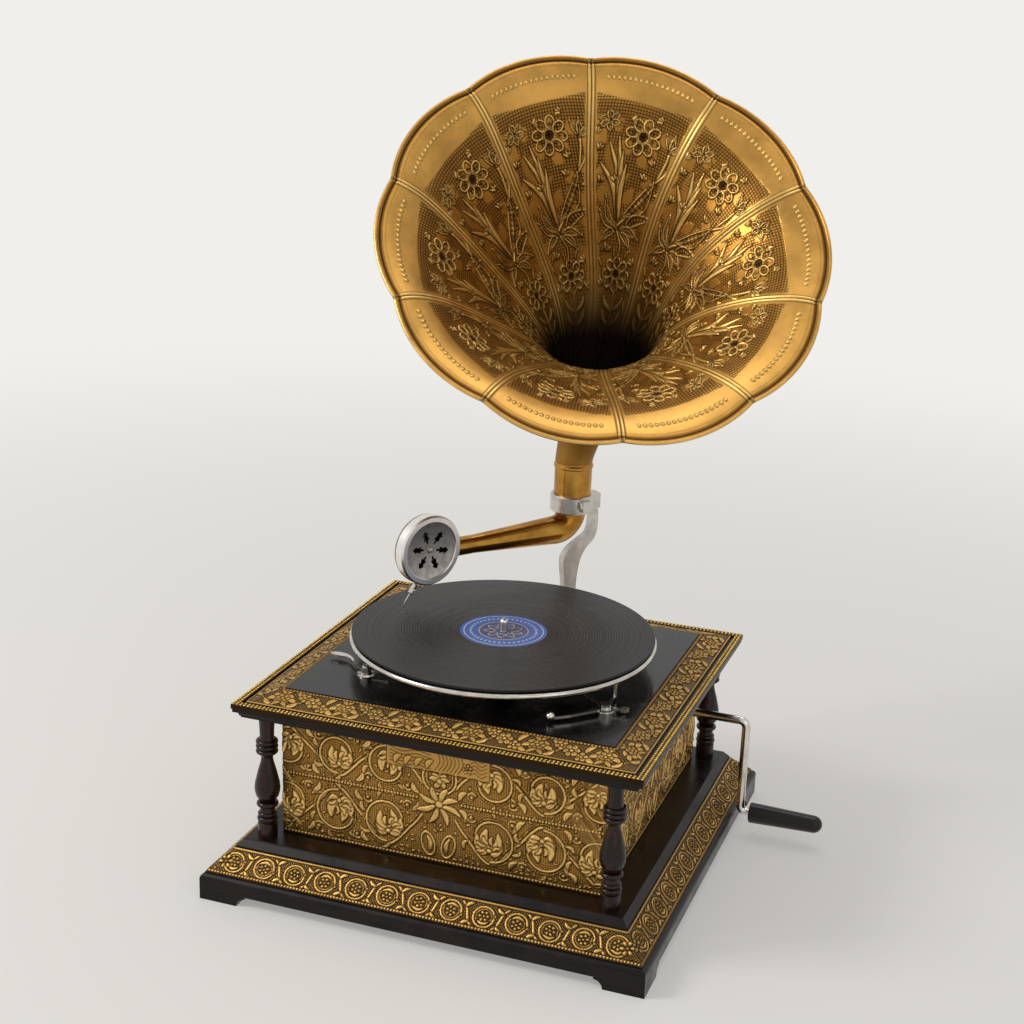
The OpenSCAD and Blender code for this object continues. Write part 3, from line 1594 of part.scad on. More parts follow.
bracket_feet();
base_slab();
base_slope_rails();
base_brass_strips();
step_moulding();
front_wall();
back_wall();
side_walls();
front_brass();
back_brass();
side_brass();
corner_columns();
top_frame();
motor_board();
top_brass_border();
crank_escutcheon();
crank_rod();
crank_grip();
winding_shaft();
winding_arbor();
winding_wheel();
spring_barrel();
barrel_cover();
mainspring();
motor_top_plate();
motor_bottom_plate();
motor_pillars();
motor_bolts();
motor_bushings();
turntable_spindle();
governor_wheel();
platter();
platter_mat();
record();
record_label();
governor_shaft();
governor_weights();
governor_bearings();
brake_post();
brake_lever();
speed_post();
speed_lever();
support_arm();
support_screws();
horn_collar();
collar_screw();
tone_arm();
gooseneck();
soundbox_back();
soundbox_gasket();
diaphragm();
soundbox_ring();
soundbox_grille();
stylus_bar();
needle();
needle_screw();
horn_neck();
horn_throat();
horn_petals();
horn_rim_wire();
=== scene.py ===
"""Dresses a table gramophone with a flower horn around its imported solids.

Lengths are in millimetres until a mesh is written, and the frame is that of the solids: the middle
of the base on the table, the front towards -Y and the crank towards +X.
"""

import logging
import math
from dataclasses import dataclass
from enum import Enum

import bmesh
import bpy
import numpy as np
from mathutils import Matrix, Vector


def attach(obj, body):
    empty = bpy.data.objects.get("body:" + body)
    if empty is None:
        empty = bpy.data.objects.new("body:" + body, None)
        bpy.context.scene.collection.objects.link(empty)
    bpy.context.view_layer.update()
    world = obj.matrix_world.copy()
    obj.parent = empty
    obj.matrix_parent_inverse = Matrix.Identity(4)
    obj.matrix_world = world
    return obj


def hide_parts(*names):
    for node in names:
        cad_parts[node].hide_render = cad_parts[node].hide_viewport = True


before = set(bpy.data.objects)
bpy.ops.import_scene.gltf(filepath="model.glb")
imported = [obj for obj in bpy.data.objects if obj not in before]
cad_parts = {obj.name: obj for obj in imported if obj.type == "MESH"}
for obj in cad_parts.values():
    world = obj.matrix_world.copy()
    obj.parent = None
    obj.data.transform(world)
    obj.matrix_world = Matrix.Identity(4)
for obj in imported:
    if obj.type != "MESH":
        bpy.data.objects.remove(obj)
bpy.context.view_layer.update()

MM = 0.001
TAU = 2 * math.pi
# Points nearer than this, in metres, are one
MERGE_M = 1e-5
# A distance in millimetres past every sample of a line
FAR = 99.0
SIDES = ("front", "right", "back", "left")
Point = tuple[float, float]
log = logging.getLogger("gramophone")


def linear(code: str) -> tuple[float, float, float, float]:
    """Turns an sRGB hex value into a linear colour.

    Args:
        code: The colour as #rrggbb.

    Returns:
        Linear red, green and blue, and an alpha of 1.
    """
    parts = [int(code[i : i + 2], 16) / 255 for i in (1, 3, 5)]
    red, green, blue = (
        v / 12.92 if v <= 0.04045 else ((v + 0.055) / 1.055) ** 2.4 for v in parts
    )
    return red, green, blue, 1.0


def ramp01(x: np.ndarray, low: float, high: float) -> np.ndarray:
    """Rises smoothly from 0 at low to 1 at high.

    Args:
        x: The values.
        low: Where the rise starts.
        high: Where it ends.

    Returns:
        Values from 0 to 1.
    """
    t = np.clip((x - low) / (high - low), 0, 1)
    return t * t * (3 - 2 * t)


def bell(x: np.ndarray, at: float, wide: float) -> np.ndarray:
    """Is 1 where x is at a place and falls off to either side over a width."""
    return np.exp(-(((x - at) / wide) ** 2))


def polar(at: Point, far: float, angle: float) -> Point:
    """Gives the point at a distance and an angle from another."""
    return at[0] + far * math.cos(angle), at[1] + far * math.sin(angle)


def oval(at: Point, half: Point, count: int) -> list[Point]:
    """Gives the points of an upright oval, from the first back to it."""
    turns = [TAU * k / count for k in range(count + 1)]
    return [(at[0] + half[0] * math.cos(a), at[1] + half[1] * math.sin(a)) for a in turns]


def curve_through(points: list[Point], step: float = 0.5) -> np.ndarray:
    """Samples a smooth curve through points at an even step.

    Args:
        points: Two or more points of the curve.
        step: Distance between samples.

    Returns:
        The samples, one row each.
    """
    p = np.array(points, float)
    if len(p) == 2:
        count = max(int(np.linalg.norm(p[1] - p[0]) / step), 2)
        return p[0] + (p[1] - p[0]) * np.linspace(0, 1, count)[:, None]
    p = np.vstack([2 * p[0] - p[1], p, 2 * p[-1] - p[-2]])
    t = np.linspace(0, 1, 24, endpoint=False)[:, None]
    runs = [
        0.5 * (2 * b + (c - a) * t + (2 * a - 5 * b + 4 * c - d) * t**2
               + (3 * b - a - 3 * c + d) * t**3)
        for a, b, c, d in zip(p, p[1:], p[2:], p[3:])
    ]
    q = np.vstack(runs + [p[-2:-1]])
    way = np.concatenate([[0], np.cumsum(np.linalg.norm(np.diff(q, axis=0), axis=1))])
    at = np.linspace(0, way[-1], max(int(way[-1] / step), 3))
    return np.stack([np.interp(at, way, q[:, k]) for k in range(p.shape[1])], axis=1)


class Taper(Enum):
    """How a chased ridge's width runs along it."""

    EVEN = "even"
    LEAF = "leaf"
    TAIL = "tail"


class Relief:
    """A sheet of chased metal seen flat, with a height and a dark patina at each of its points."""

    def __init__(self, low: Point, high: Point, step: float) -> None:
        """Starts a flat sheet between two corners, with a grid of the given step."""
        self.low, self.step = low, step
        self.x = np.arange(low[0], high[0] + step, step)
        self.y = np.arange(low[1], high[1] + step, step)
        self.height = np.zeros((len(self.y), len(self.x)))
        self.dark = np.zeros_like(self.height)
        self.hatch = np.zeros_like(self.height)

    def window(self, points: np.ndarray, pad: float) -> tuple[slice, slice]:
        """Gives the rows and columns around points.

        Args:
            points: The points to cover.
            pad: Margin around them.

        Returns:
            Slices of the rows and of the columns.
        """
        low = np.floor((points.min(0) - pad - self.low) / self.step).astype(int)
        high = np.ceil((points.max(0) + pad - self.low) / self.step).astype(int) + 1
        low, high = np.maximum(low, 0), np.maximum(high, 0)
        return slice(low[1], high[1]), slice(low[0], high[0])

    def press(self, points: np.ndarray, radii: np.ndarray, height: float, moat: float = 0.9) -> None:
        """Raises a rounded ridge along samples and cuts a dark line round it.

        Args:
            points: Samples of the ridge's middle.
            radii: Half width at each sample.
            height: Height of its crest.
            moat: Width of the dark line outside it.
        """
        rows, cols = self.window(points, radii.max() + moat)
        height_here, dark_here = self.height[rows, cols], self.dark[rows, cols]
        if not height_here.size:
            return
        gx, gy = np.meshgrid(self.x[cols], self.y[rows])
        near = np.full(gx.shape, FAR)
        out = np.full(gx.shape, FAR)
        for k in range(0, len(points), 16):
            part, r = points[k : k + 16], radii[k : k + 16]
            sub = self.window(part, r.max() + moat)
            sr = slice(sub[0].start - rows.start, sub[0].stop - rows.start)
            sc = slice(sub[1].start - cols.start, sub[1].stop - cols.start)
            if not gx[sr, sc].size:
                continue
            d = np.hypot(gx[sr, sc, None] - part[:, 0], gy[sr, sc, None] - part[:, 1])
            near[sr, sc] = np.minimum(near[sr, sc], (d / r).min(2))
            out[sr, sc] = np.minimum(out[sr, sc], (d - r).min(2))
        inside = near < 1
        ring = (~inside) & (out < moat)
        height_here[ring] *= np.clip(out[ring] / moat, 0.15, 1)
        dark_here[ring] = np.maximum(dark_here[ring], 1 - 0.7 * out[ring] / moat)
        crest = height * np.sqrt(np.clip(1 - near[inside] ** 2, 0, 1))
        height_here[inside] = np.maximum(crest, 0.35 * height_here[inside])
        dark_here[inside] = 0.6 * np.clip((near[inside] - 0.75) / 0.25, 0, 1)
        self.hatch[rows, cols][out < 0.5] = 0

    def ridge(
        self, points: list[Point], width: float, height: float = 1.0,
        taper: Taper = Taper.EVEN,
    ) -> None:
        """Raises a ridge along a smooth curve.

        Args:
            points: Points of the curve.
            width: Greatest width of the ridge.
            height: Height of its crest.
            taper: How its width runs along it.
        """
        q = curve_through(points, max(0.35, min(0.3 * width, 1)))
        t = np.linspace(0, 1, len(q))
        shape = {
            Taper.EVEN: np.ones_like(t),
            Taper.LEAF: np.sin(math.pi * (0.06 + 0.9 * t)) ** 0.8,
            Taper.TAIL: 1 - 0.75 * t,
        }[taper]
        self.press(q, np.maximum(0.5 * width * shape, 0.22), height)

    def scratch(self, points: list[Point], width: float, depth: float = 0.4) -> None:
        """Cuts a thin dark line along a smooth curve.

        Args:
            points: Points of the curve.
            width: Width of the line.
            depth: Depth of the line.
        """
        q = curve_through(points, 0.5)
        rows, cols = self.window(q, width)
        gx, gy = np.meshgrid(self.x[cols], self.y[rows])
        if not gx.size:
            return
        near = np.full(gx.shape, FAR)
        for k in range(0, len(q), 40):
            part = q[k : k + 40]
            d = np.hypot(gx[..., None] - part[:, 0], gy[..., None] - part[:, 1]).min(2)
            near = np.minimum(near, d)
        cut = np.clip(1 - near / (0.5 * width + 0.2), 0, 1)
        self.height[rows, cols] -= depth * cut
        self.dark[rows, cols] = np.maximum(self.dark[rows, cols], cut)

    def vine(self, points: list[Point], width: float, gap: float) -> None:
        """Raises a stem with a thin line beside it.

        Args:
            points: Points of the stem.
            width: Width of the stem.
            gap: Distance from the stem to its line, negative for the other side.
        """
        self.ridge(points, width, 1.0)
        q = curve_through(points, 1.0)
        way = np.gradient(q, axis=0)
        way /= np.linalg.norm(way, axis=1)[:, None]
        beside = q + gap * np.stack([-way[:, 1], way[:, 0]], 1)
        self.press(beside, np.full(len(beside), 0.55), 0.75, 0.7)

    def leaf(
        self, foot: Point, tip: Point, width: float,
        bend: float = 0.0, height: float = 1.0, veined: bool = True,
    ) -> None:
        """Raises a pointed leaf with a cut vein.

        Args:
            foot: Where it grows from.
            tip: Its point.
            width: Its greatest width.
            bend: Sideways bow as a share of its length.
            height: Height of its crest.
            veined: Whether a vein is cut along it.
        """
        a, b = np.array(foot, float), np.array(tip, float)
        side = np.array([a[1] - b[1], b[0] - a[0]]) * bend
        middle = (a + b) / 2 + side
        self.ridge([tuple(a), tuple(middle), tuple(b)], width, height, Taper.LEAF)
        if veined:
            inner = [tuple(a + 0.12 * (b - a)), tuple(middle), tuple(a + 0.8 * (b - a))]
            self.scratch(inner, 0.5, 0.35 * height)

    def bead(self, at: Point, radius: float, height: float = 1.0) -> None:
        """Raises one round bead.

        Args:
            at: Its middle.
            radius: Its radius.
            height: Its height.
        """
        self.press(np.array([at], float), np.array([radius]), height)

    def beads(
        self, a: Point, b: Point, pitch: float, radius: float,
        height: float = 1.0,
    ) -> None:
        """Raises a row of beads.

        Args:
            a: Middle of the first bead.
            b: Where the row ends.
            pitch: Distance between beads.
            radius: Radius of a bead.
            height: Height of a bead.
        """
        p, q = np.array(a, float), np.array(b, float)
        count = max(int(round(np.linalg.norm(q - p) / pitch)), 1)
        for i in range(count + 1):
            self.bead(tuple(p + (q - p) * i / count), radius, height)

    def flower(
        self, at: Point, radius: float, petals: int, turn: float = 0.0,
        height: float = 1.0, heart: float = 0.28,
    ) -> None:
        """Raises a flower of round petals about a bead in a dark ring.

        Args:
            at: Its middle.
            radius: Its outer radius.
            petals: Number of its petals.
            turn: Angle of its first petal.
            height: Height of its petals.
            heart: Radius of its bead as a share of the outer radius.
        """
        round_r = radius * min(0.24, 1.9 / petals)
        for k in range(petals):
            a = turn + TAU * k / petals
            way = np.array([math.cos(a), math.sin(a)])
            line = [at + 0.42 * radius * way, at + (radius - round_r) * way]
            pts = np.linspace(line[0], line[1], 6)
            self.press(pts, np.linspace(0.5, 1, 6) * round_r, height)
            self.scratch([tuple(at + 0.5 * radius * way), tuple(at + 0.8 * radius * way)], 0.4, 0.3)
        self.bead(at, heart * radius, height)
        self.bead(at, 0.5 * heart * radius, 1.25 * height)

    def pit(self, at: Point, radius: float, depth: float = 0.5) -> None:
        """Sinks a round dark pit.

        Args:
            at: Its middle.
            radius: Its radius.
            depth: Its depth.
        """
        rows, cols = self.window(np.array([at], float), radius)
        gx, gy = np.meshgrid(self.x[cols], self.y[rows])
        bowl = np.clip(1 - np.hypot(gx - at[0], gy - at[1]) / radius, 0, 1) ** 0.5
        self.height[rows, cols] -= depth * bowl
        self.dark[rows, cols] = np.maximum(self.dark[rows, cols], bowl)

    def loop(
        self, at: Point, half: Point, turn: float, width: float,
        height: float = 1.0,
    ) -> None:
        """Raises an oval outline.

        Args:
            at: Its middle.
            half: Half its length and half its width.
            turn: Direction of its length.
            width: Width of the raised line.
            height: Height of the raised line.
        """
        c, d = math.cos(turn), math.sin(turn)
        ring = []
        for k in range(13):
            x, y = half[0] * math.cos(TAU * k / 12), half[1] * math.sin(TAU * k / 12)
            ring.append((at[0] + c * x - d * y, at[1] + d * x + c * y))
        self.ridge(ring, width, height)

    def outlined_flower(
        self, at: Point, radius: float, petals: int, turn: float, height: float
    ) -> None:
        """Raises the outlines of a flower's petals round a dark heart.

        Args:
            at: Its middle.
            radius: Its outer radius.
            petals: Number of its petals.
            turn: Angle of its first petal.
            height: Height of the raised lines.
        """
        for k in range(petals):
            a = turn + TAU * k / petals
            self.loop(polar(at, 0.66 * radius, a), (0.32 * radius, 0.235 * radius), a, 1.5, height)
            self.pit(polar(at, 0.56 * radius, a), 0.1 * radius, 0.2)
        self.pit(at, 0.26 * radius, 0.7)
        self.loop(at, (0.29 * radius, 0.29 * radius), 0.0, 0.9, 0.8 * height)

    def outlined_leaf(
        self, foot: Point, tip: Point, width: float, bend: float = 0.0,
        height: float = 0.9,
    ) -> None:
        """Raises the outline of a leaf and its vein.

        Args:
            foot: Where it grows from.
            tip: Its point.
            width: Its greatest width.
            bend: Sideways bow as a share of its length.
            height: Height of the raised lines.
        """
        a, b = np.array(foot, float), np.array(tip, float)
        way = b - a
        side = np.array([-way[1], way[0]])
        unit = side / np.linalg.norm(side)
        middle = a + 0.45 * way + side * bend
        for s in (-1, 1):
            self.ridge([tuple(a), tuple(middle + s * 0.42 * width * unit), tuple(b)], 1.2, height)
        self.ridge([tuple(a), tuple(middle), tuple(a + 0.85 * way)], 0.8, 0.7 * height)

    def fill_gaps(self, low: Point, high: Point, pitch: float) -> None:
        """Puts a small bud wherever the ground is still bare.

        Args:
            low: Lower corner of the field.
            high: Upper corner of the field.
            pitch: Distance between the places that are tried.
        """
        rng = np.random.default_rng(7)
        for y in np.arange(low[1], high[1], pitch):
            for x in np.arange(low[0], high[0], pitch):
                at = np.array([x, y]) + rng.uniform(-0.25, 0.25, 2) * pitch
                turn = rng.uniform(0, TAU)
                rows, cols = self.window(at[None, :], 0.42 * pitch)
                if self.height[rows, cols].size and self.height[rows, cols].max() < 0.25:
                    way = 0.36 * pitch * np.array([math.cos(turn), math.sin(turn)])
                    self.leaf(tuple(at - way), tuple(at + way), 0.36 * pitch, 0.2, 0.8, False)

    def sample(self, x: np.ndarray, y: np.ndarray) -> tuple[np.ndarray, ...]:
        """Reads the sheet at any points.

        Args:
            x: Places along it.
            y: Places across it.

        Returns:
            Height, patina and hatching there.
        """
        fx = np.clip((x - self.low[0]) / self.step, 0, len(self.x) - 1.001)
        fy = np.clip((y - self.low[1]) / self.step, 0, len(self.y) - 1.001)
        ix, iy = fx.astype(int), fy.astype(int)
        tx, ty = fx - ix, fy - iy
        out = []
        for g in (self.height, self.dark, self.hatch):
            top = g[iy + 1, ix] * (1 - tx) + g[iy + 1, ix + 1] * tx
            out.append((g[iy, ix] * (1 - tx) + g[iy, ix + 1] * tx) * (1 - ty) + top * ty)
        return out[0], out[1], out[2]


def write_object(bm: bmesh.types.BMesh, name: str, smooth: bool = True) -> bpy.types.Object:
    """Makes an object of a bmesh.

    Args:
        bm: The mesh, which is freed.
        name: The object's name.
        smooth: Whether its faces are shaded smooth.

    Returns:
        The object, linked to the scene.
    """
    mesh = bpy.data.meshes.new(name)
    bm.to_mesh(mesh)
    bm.free()
    mesh.polygons.foreach_set("use_smooth", [smooth] * len(mesh.polygons))
    obj = bpy.data.objects.new(name, mesh)
    bpy.context.scene.collection.objects.link(obj)
    return obj


def sheet_object(
    name: str, points: np.ndarray, relief: np.ndarray, dark: np.ndarray, back: Vector | None = None,
    join: tuple[bool, bool] = (False, False), chart: np.ndarray | None = None,
) -> bpy.types.Object:
    """Makes a sheet from a grid of points.

    Args:
        name: The object's name.
        points: Rows by columns of points in millimetres.
        relief: Height at each point, from 0 to 1.
        dark: Patina and painted shade at each point, from 0 to 1.
        back: How far a plate's back lies behind its edge, or None for a bare sheet.
        join: Whether the last row meets the first and the last column meets the first.
        chart: Place on the flat sheet in millimetres and share of hatching, for punched marks.

    Returns:
        The object.
    """
    rows, cols = points.shape[:2]
    bm = bmesh.new()
    bmesh.ops.create_grid(bm, x_segments=cols - 1, y_segments=rows - 1, size=1)
    bm.verts.ensure_lookup_table()
    # The second layer holds patina together with painted shade, which the horn puts in its throat and
    # under its rim
    tone = [bm.verts.layers.float.new(key) for key in ("relief", "patina")]
    chart_layer = bm.verts.layers.float_vector.new("chart")
    flat, up, low = points.reshape(-1, 3) * MM, relief.ravel(), dark.ravel()
    marks = np.zeros_like(flat) if chart is None else chart.reshape(-1, 3)
    for i, vert in enumerate(bm.verts):
        vert.co = flat[i]
        vert[tone[0]], vert[tone[1]] = up[i], low[i]
        vert[chart_layer] = marks[i]
    if join[0] or join[1]:
        bmesh.ops.remove_doubles(bm, verts=bm.verts, dist=MERGE_M)
    if back is not None:
        edge = [e for e in bm.edges if e.is_boundary]
        made = bmesh.ops.extrude_edge_only(bm, edges=edge)["geom"]
        verts = [g for g in made if isinstance(g, bmesh.types.BMVert)]
        bmesh.ops.translate(bm, verts=verts, vec=back * MM)
        bmesh.ops.contextual_create(bm, geom=[e for e in made if isinstance(e, bmesh.types.BMEdge)])
        bmesh.ops.recalc_face_normals(bm, faces=bm.faces)
    return write_object(bm, name)


def add_node(
    tree: bpy.types.NodeTree, kind: str, settings: dict | None = None, inputs: dict | None = None
) -> bpy.types.Node:
    """Adds a node with its settings, values and links.

    Args:
        tree: The material's tree.
        kind: The node's type without its leading ShaderNode.
        settings: Its properties, and under "stops" the places and colours of its ramp.
        inputs: Its inputs by name or number, each a value or an output to link.

    Returns:
        The node.
    """
    node = tree.nodes.new("ShaderNode" + kind)
    for key, value in (settings or {}).items():
        if key == "stops":
            while len(node.color_ramp.elements) < len(value):
                node.color_ramp.elements.new(1.0)
            for element, (at, colour) in zip(node.color_ramp.elements, value):
                element.position = at
                element.color = colour if isinstance(colour, tuple) else (colour,) * 3 + (1,)
        else:
            setattr(node, key, value)
    for key, value in (inputs or {}).items():
        if isinstance(value, bpy.types.NodeSocket):
            tree.links.new(value, node.inputs[key])
        else:
            node.inputs[key].default_value = value
    return node


def start_material(name: str, **values: float | tuple) -> tuple[bpy.types.Material, bpy.types.Node]:
    """Starts a material whose shader has constant values.

    Args:
        name: The material's name.
        values: The shader's inputs, with an underscore for each space.

    Returns:
        The material and its shader.
    """
    material = bpy.data.materials.new(name)
    material.use_nodes = True
    shader = material.node_tree.nodes["Principled BSDF"]
    for key, value in values.items():
        shader.inputs[key.replace("_", " ")].default_value = value
    return material, shader


@dataclass(frozen=True)
class ChasedBrass:
    """Brass sheet pressed and chased, darkened with patina and with painted shade, and rubbed bright on
    its crests.
    """

    name: str
    crest: str
    body: str
    recess: str
    line: str
    rough_low: float = 0.34
    rough_high: float = 0.62
    mottle_mm: float = 22.0
    grit_mm: float = 0.9
    grit: float = 0.25
    # Pitch of the punched marks, drawn coarser than real ones so that they show
    mark_mm: float = 2.3
    marks: float = 0.7
    dotted: bool = False
    metallic: float = 0.9

    def material(self) -> bpy.types.Material:
        """Builds the material."""
        mat, shader = start_material(self.name, Metallic=self.metallic)
        tree = mat.node_tree
        co = add_node(tree, "TexCoord").outputs["Object"]
        relief = add_node(tree, "Attribute", {"attribute_name": "relief"}).outputs["Fac"]
        patina = add_node(tree, "Attribute", {"attribute_name": "patina"}).outputs["Fac"]
        cloud = add_node(tree, "TexNoise", None, {
            "Vector": co, "Scale": 1 / (self.mottle_mm * MM), "Detail": 5.0, "Roughness": 0.6,
        }).outputs["Fac"]
        grit = add_node(tree, "TexNoise", None, {
            "Vector": co, "Scale": 1 / (self.grit_mm * MM), "Detail": 2.0,
        }).outputs["Fac"]
        tone = add_node(tree, "ValToRGB", {"stops": [
            (0.0, linear(self.recess)), (0.38, linear(self.body)), (0.85, linear(self.crest)),
        ]}, {"Fac": relief}).outputs["Color"]
        cloudy = add_node(tree, "MapRange", None, {
            "Value": cloud, "From Min": 0.3, "From Max": 0.75, "To Min": 0.74, "To Max": 1.1,
        }).outputs["Result"]
        toned = add_node(tree, "Mix", {"data_type": "RGBA", "blend_type": "MULTIPLY"}, {
            "Factor": 1.0, "A": tone, "B": cloudy,
        }).outputs["Result"]
        chart = add_node(tree, "SeparateXYZ", None, {
            "Vector": add_node(tree, "Attribute", {"attribute_name": "chart"}).outputs["Vector"],
        }).outputs
        waves = [add_node(tree, "Math", {"operation": "COSINE"}, {
            0: add_node(tree, "Math", {"operation": "MULTIPLY"}, {
                0: chart[k], 1: TAU / self.mark_mm,
            }).outputs["Value"],
        }).outputs["Value"] for k in (0, 1)]
        mark = add_node(tree, "Math", {"operation": "MULTIPLY" if self.dotted else "MAXIMUM"}, {
            0: waves[0], 1: waves[1],
        }).outputs["Value"]
        sharp = add_node(tree, "MapRange", None, {
            "Value": mark, "From Min": 0.25, "From Max": 0.75,
        }).outputs["Result"]
        punched = add_node(tree, "Math", {"operation": "MULTIPLY"}, {
            0: sharp, 1: chart[2],
        }).outputs["Value"]
        amount = add_node(tree, "Math", {"operation": "MULTIPLY"}, {0: punched, 1: self.marks})
        marked = add_node(tree, "Mix", {"data_type": "RGBA"}, {
            "Factor": amount.outputs["Value"], "A": toned,
            "B": linear(self.crest if self.dotted else self.line),
        }).outputs["Result"]
        # Darkens towards the line colour by the second layer: patina in the chased lines, and painted
        # shade in the horn's throat and under its rim
        lined = add_node(tree, "Mix", {"data_type": "RGBA"}, {
            "Factor": patina, "A": marked, "B": linear(self.line),
        }).outputs["Result"]
        tree.links.new(lined, shader.inputs["Base Color"])
        worn = add_node(tree, "MapRange", None, {
            "Value": patina, "To Min": self.rough_low, "To Max": self.rough_high,
        }).outputs["Result"]
        rough = add_node(tree, "Math", {"operation": "MULTIPLY_ADD"}, {
            0: cloud, 1: 0.22, 2: worn,
        }).outputs["Value"]
        tree.links.new(rough, shader.inputs["Roughness"])
        fine = add_node(tree, "Bump", None, {
            "Strength": self.grit, "Distance": 0.4 * MM, "Height": grit,
        }).outputs["Normal"]
        bump = add_node(tree, "Bump", {"invert": not self.dotted}, {
            "Strength": 0.6, "Distance": 0.5 * MM, "Height": punched, "Normal": fine,
        }).outputs["Normal"]
        tree.links.new(bump, shader.inputs["Normal"])
        return mat


@dataclass(frozen=True)
class Metal:
    """A plain metal surface with fine wear."""

    name: str
    colour: str
    worn: str
    rough: float
    spread: float = 0.12
    mottle_mm: float = 9.0
    bump: float = 0.06
    bump_mm: float = 1.2

    def material(self) -> bpy.types.Material:
        """Builds the material."""
        mat, shader = start_material(self.name, Metallic=1.0)
        tree = mat.node_tree
        co = add_node(tree, "TexCoord").outputs["Object"]
        cloud = add_node(tree, "TexNoise", None, {
            "Vector": co, "Scale": 1 / (self.mottle_mm * MM), "Detail": 6.0, "Roughness": 0.65,
        }).outputs["Fac"]
        tone = add_node(tree, "ValToRGB", {"stops": [
            (0.36, linear(self.worn)), (0.62, linear(self.colour)),
        ]}, {"Fac": cloud}).outputs["Color"]
        tree.links.new(tone, shader.inputs["Base Color"])
        rough = add_node(tree, "MapRange", None, {
            "Value": cloud, "From Min": 0.3, "From Max": 0.7,
            "To Min": self.rough + self.spread, "To Max": self.rough,
        }).outputs["Result"]
        tree.links.new(rough, shader.inputs["Roughness"])
        grain = add_node(tree, "TexNoise", None, {
            "Vector": co, "Scale": 1 / (self.bump_mm * MM), "Detail": 3.0,
        }).outputs["Fac"]
        bump = add_node(tree, "Bump", None, {
            "Strength": self.bump, "Distance": 0.5 * MM, "Height": grain,
        }).outputs["Normal"]
        tree.links.new(bump, shader.inputs["Normal"])
        return mat


@dataclass(frozen=True)
class Lacquer:
    """Wood under dark gloss lacquer, with a faint grain and rubbed brown patches."""

    name: str
    colour: str
    worn: str
    rough: float = 0.22
    grain_mm: tuple[float, float, float] = (40.0, 3.0, 3.0)
    coat: float = 0.12
    grain: float = 0.12
    shine: float = 0.3
    rubbed_mm: float = 26.0

    def material(self) -> bpy.types.Material:
        """Builds the material."""
        mat, shader = start_material(
            self.name, IOR=1.5, Coat_Weight=self.coat, Coat_Roughness=0.12,
            Specular_IOR_Level=self.shine,
        )
        tree = mat.node_tree
        co = add_node(tree, "TexCoord").outputs["Object"]
        stretched = add_node(tree, "Mapping", None, {
            "Vector": co, "Scale": tuple(1 / (v * MM) for v in self.grain_mm),
        }).outputs["Vector"]
        grain = add_node(tree, "TexNoise", None, {
            "Vector": stretched, "Scale": 1.0, "Detail": 6.0, "Roughness": 0.6,
        }).outputs["Fac"]
        rubbed = add_node(tree, "TexNoise", None, {
            "Vector": co, "Scale": 1 / (self.rubbed_mm * MM), "Detail": 7.0, "Roughness": 0.7,
        }).outputs["Fac"]
        wear = add_node(tree, "Math", {"operation": "MULTIPLY"}, {0: grain, 1: rubbed})
        tone = add_node(tree, "ValToRGB", {"stops": [
            (0.2, linear(self.colour)), (0.42, linear(self.worn)),
        ]}, {"Fac": wear.outputs["Value"]}).outputs["Color"]
        tree.links.new(tone, shader.inputs["Base Color"])
        rough = add_node(tree, "MapRange", None, {
            "Value": rubbed, "From Min": 0.35, "From Max": 0.7,
            "To Min": self.rough, "To Max": self.rough + 0.2,
        }).outputs["Result"]
        tree.links.new(rough, shader.inputs["Roughness"])
        bump = add_node(tree, "Bump", None, {
            "Strength": self.grain, "Distance": 0.4 * MM, "Height": grain,
        }).outputs["Normal"]
        tree.links.new(bump, shader.inputs["Normal"])
        return mat


@dataclass(frozen=True)
class PlainStuff:
    """Felt, rubber or mica: a dull or clear stuff with a fine fleck."""

    name: str
    colour: str
    fleck: str
    rough: float
    fleck_mm: float = 1.5
    bump: float = 0.2
    sheen: float = 0.0
    alpha: float = 1.0

    def material(self) -> bpy.types.Material:
        """Builds the material."""
        mat, shader = start_material(
            self.name, Roughness=self.rough, Sheen_Weight=self.sheen, Alpha=self.alpha
        )
        tree = mat.node_tree
        co = add_node(tree, "TexCoord").outputs["Object"]
        fleck = add_node(tree, "TexNoise", None, {
            "Vector": co, "Scale": 1 / (self.fleck_mm * MM), "Detail": 4.0, "Roughness": 0.7,
        }).outputs["Fac"]
        tone = add_node(tree, "ValToRGB", {"stops": [
            (0.35, linear(self.colour)), (0.7, linear(self.fleck)),
        ]}, {"Fac": fleck}).outputs["Color"]
        tree.links.new(tone, shader.inputs["Base Color"])
        bump = add_node(tree, "Bump", None, {
            "Strength": self.bump, "Distance": 0.3 * MM, "Height": fleck,
        }).outputs["Normal"]
        tree.links.new(bump, shader.inputs["Normal"])
        return mat


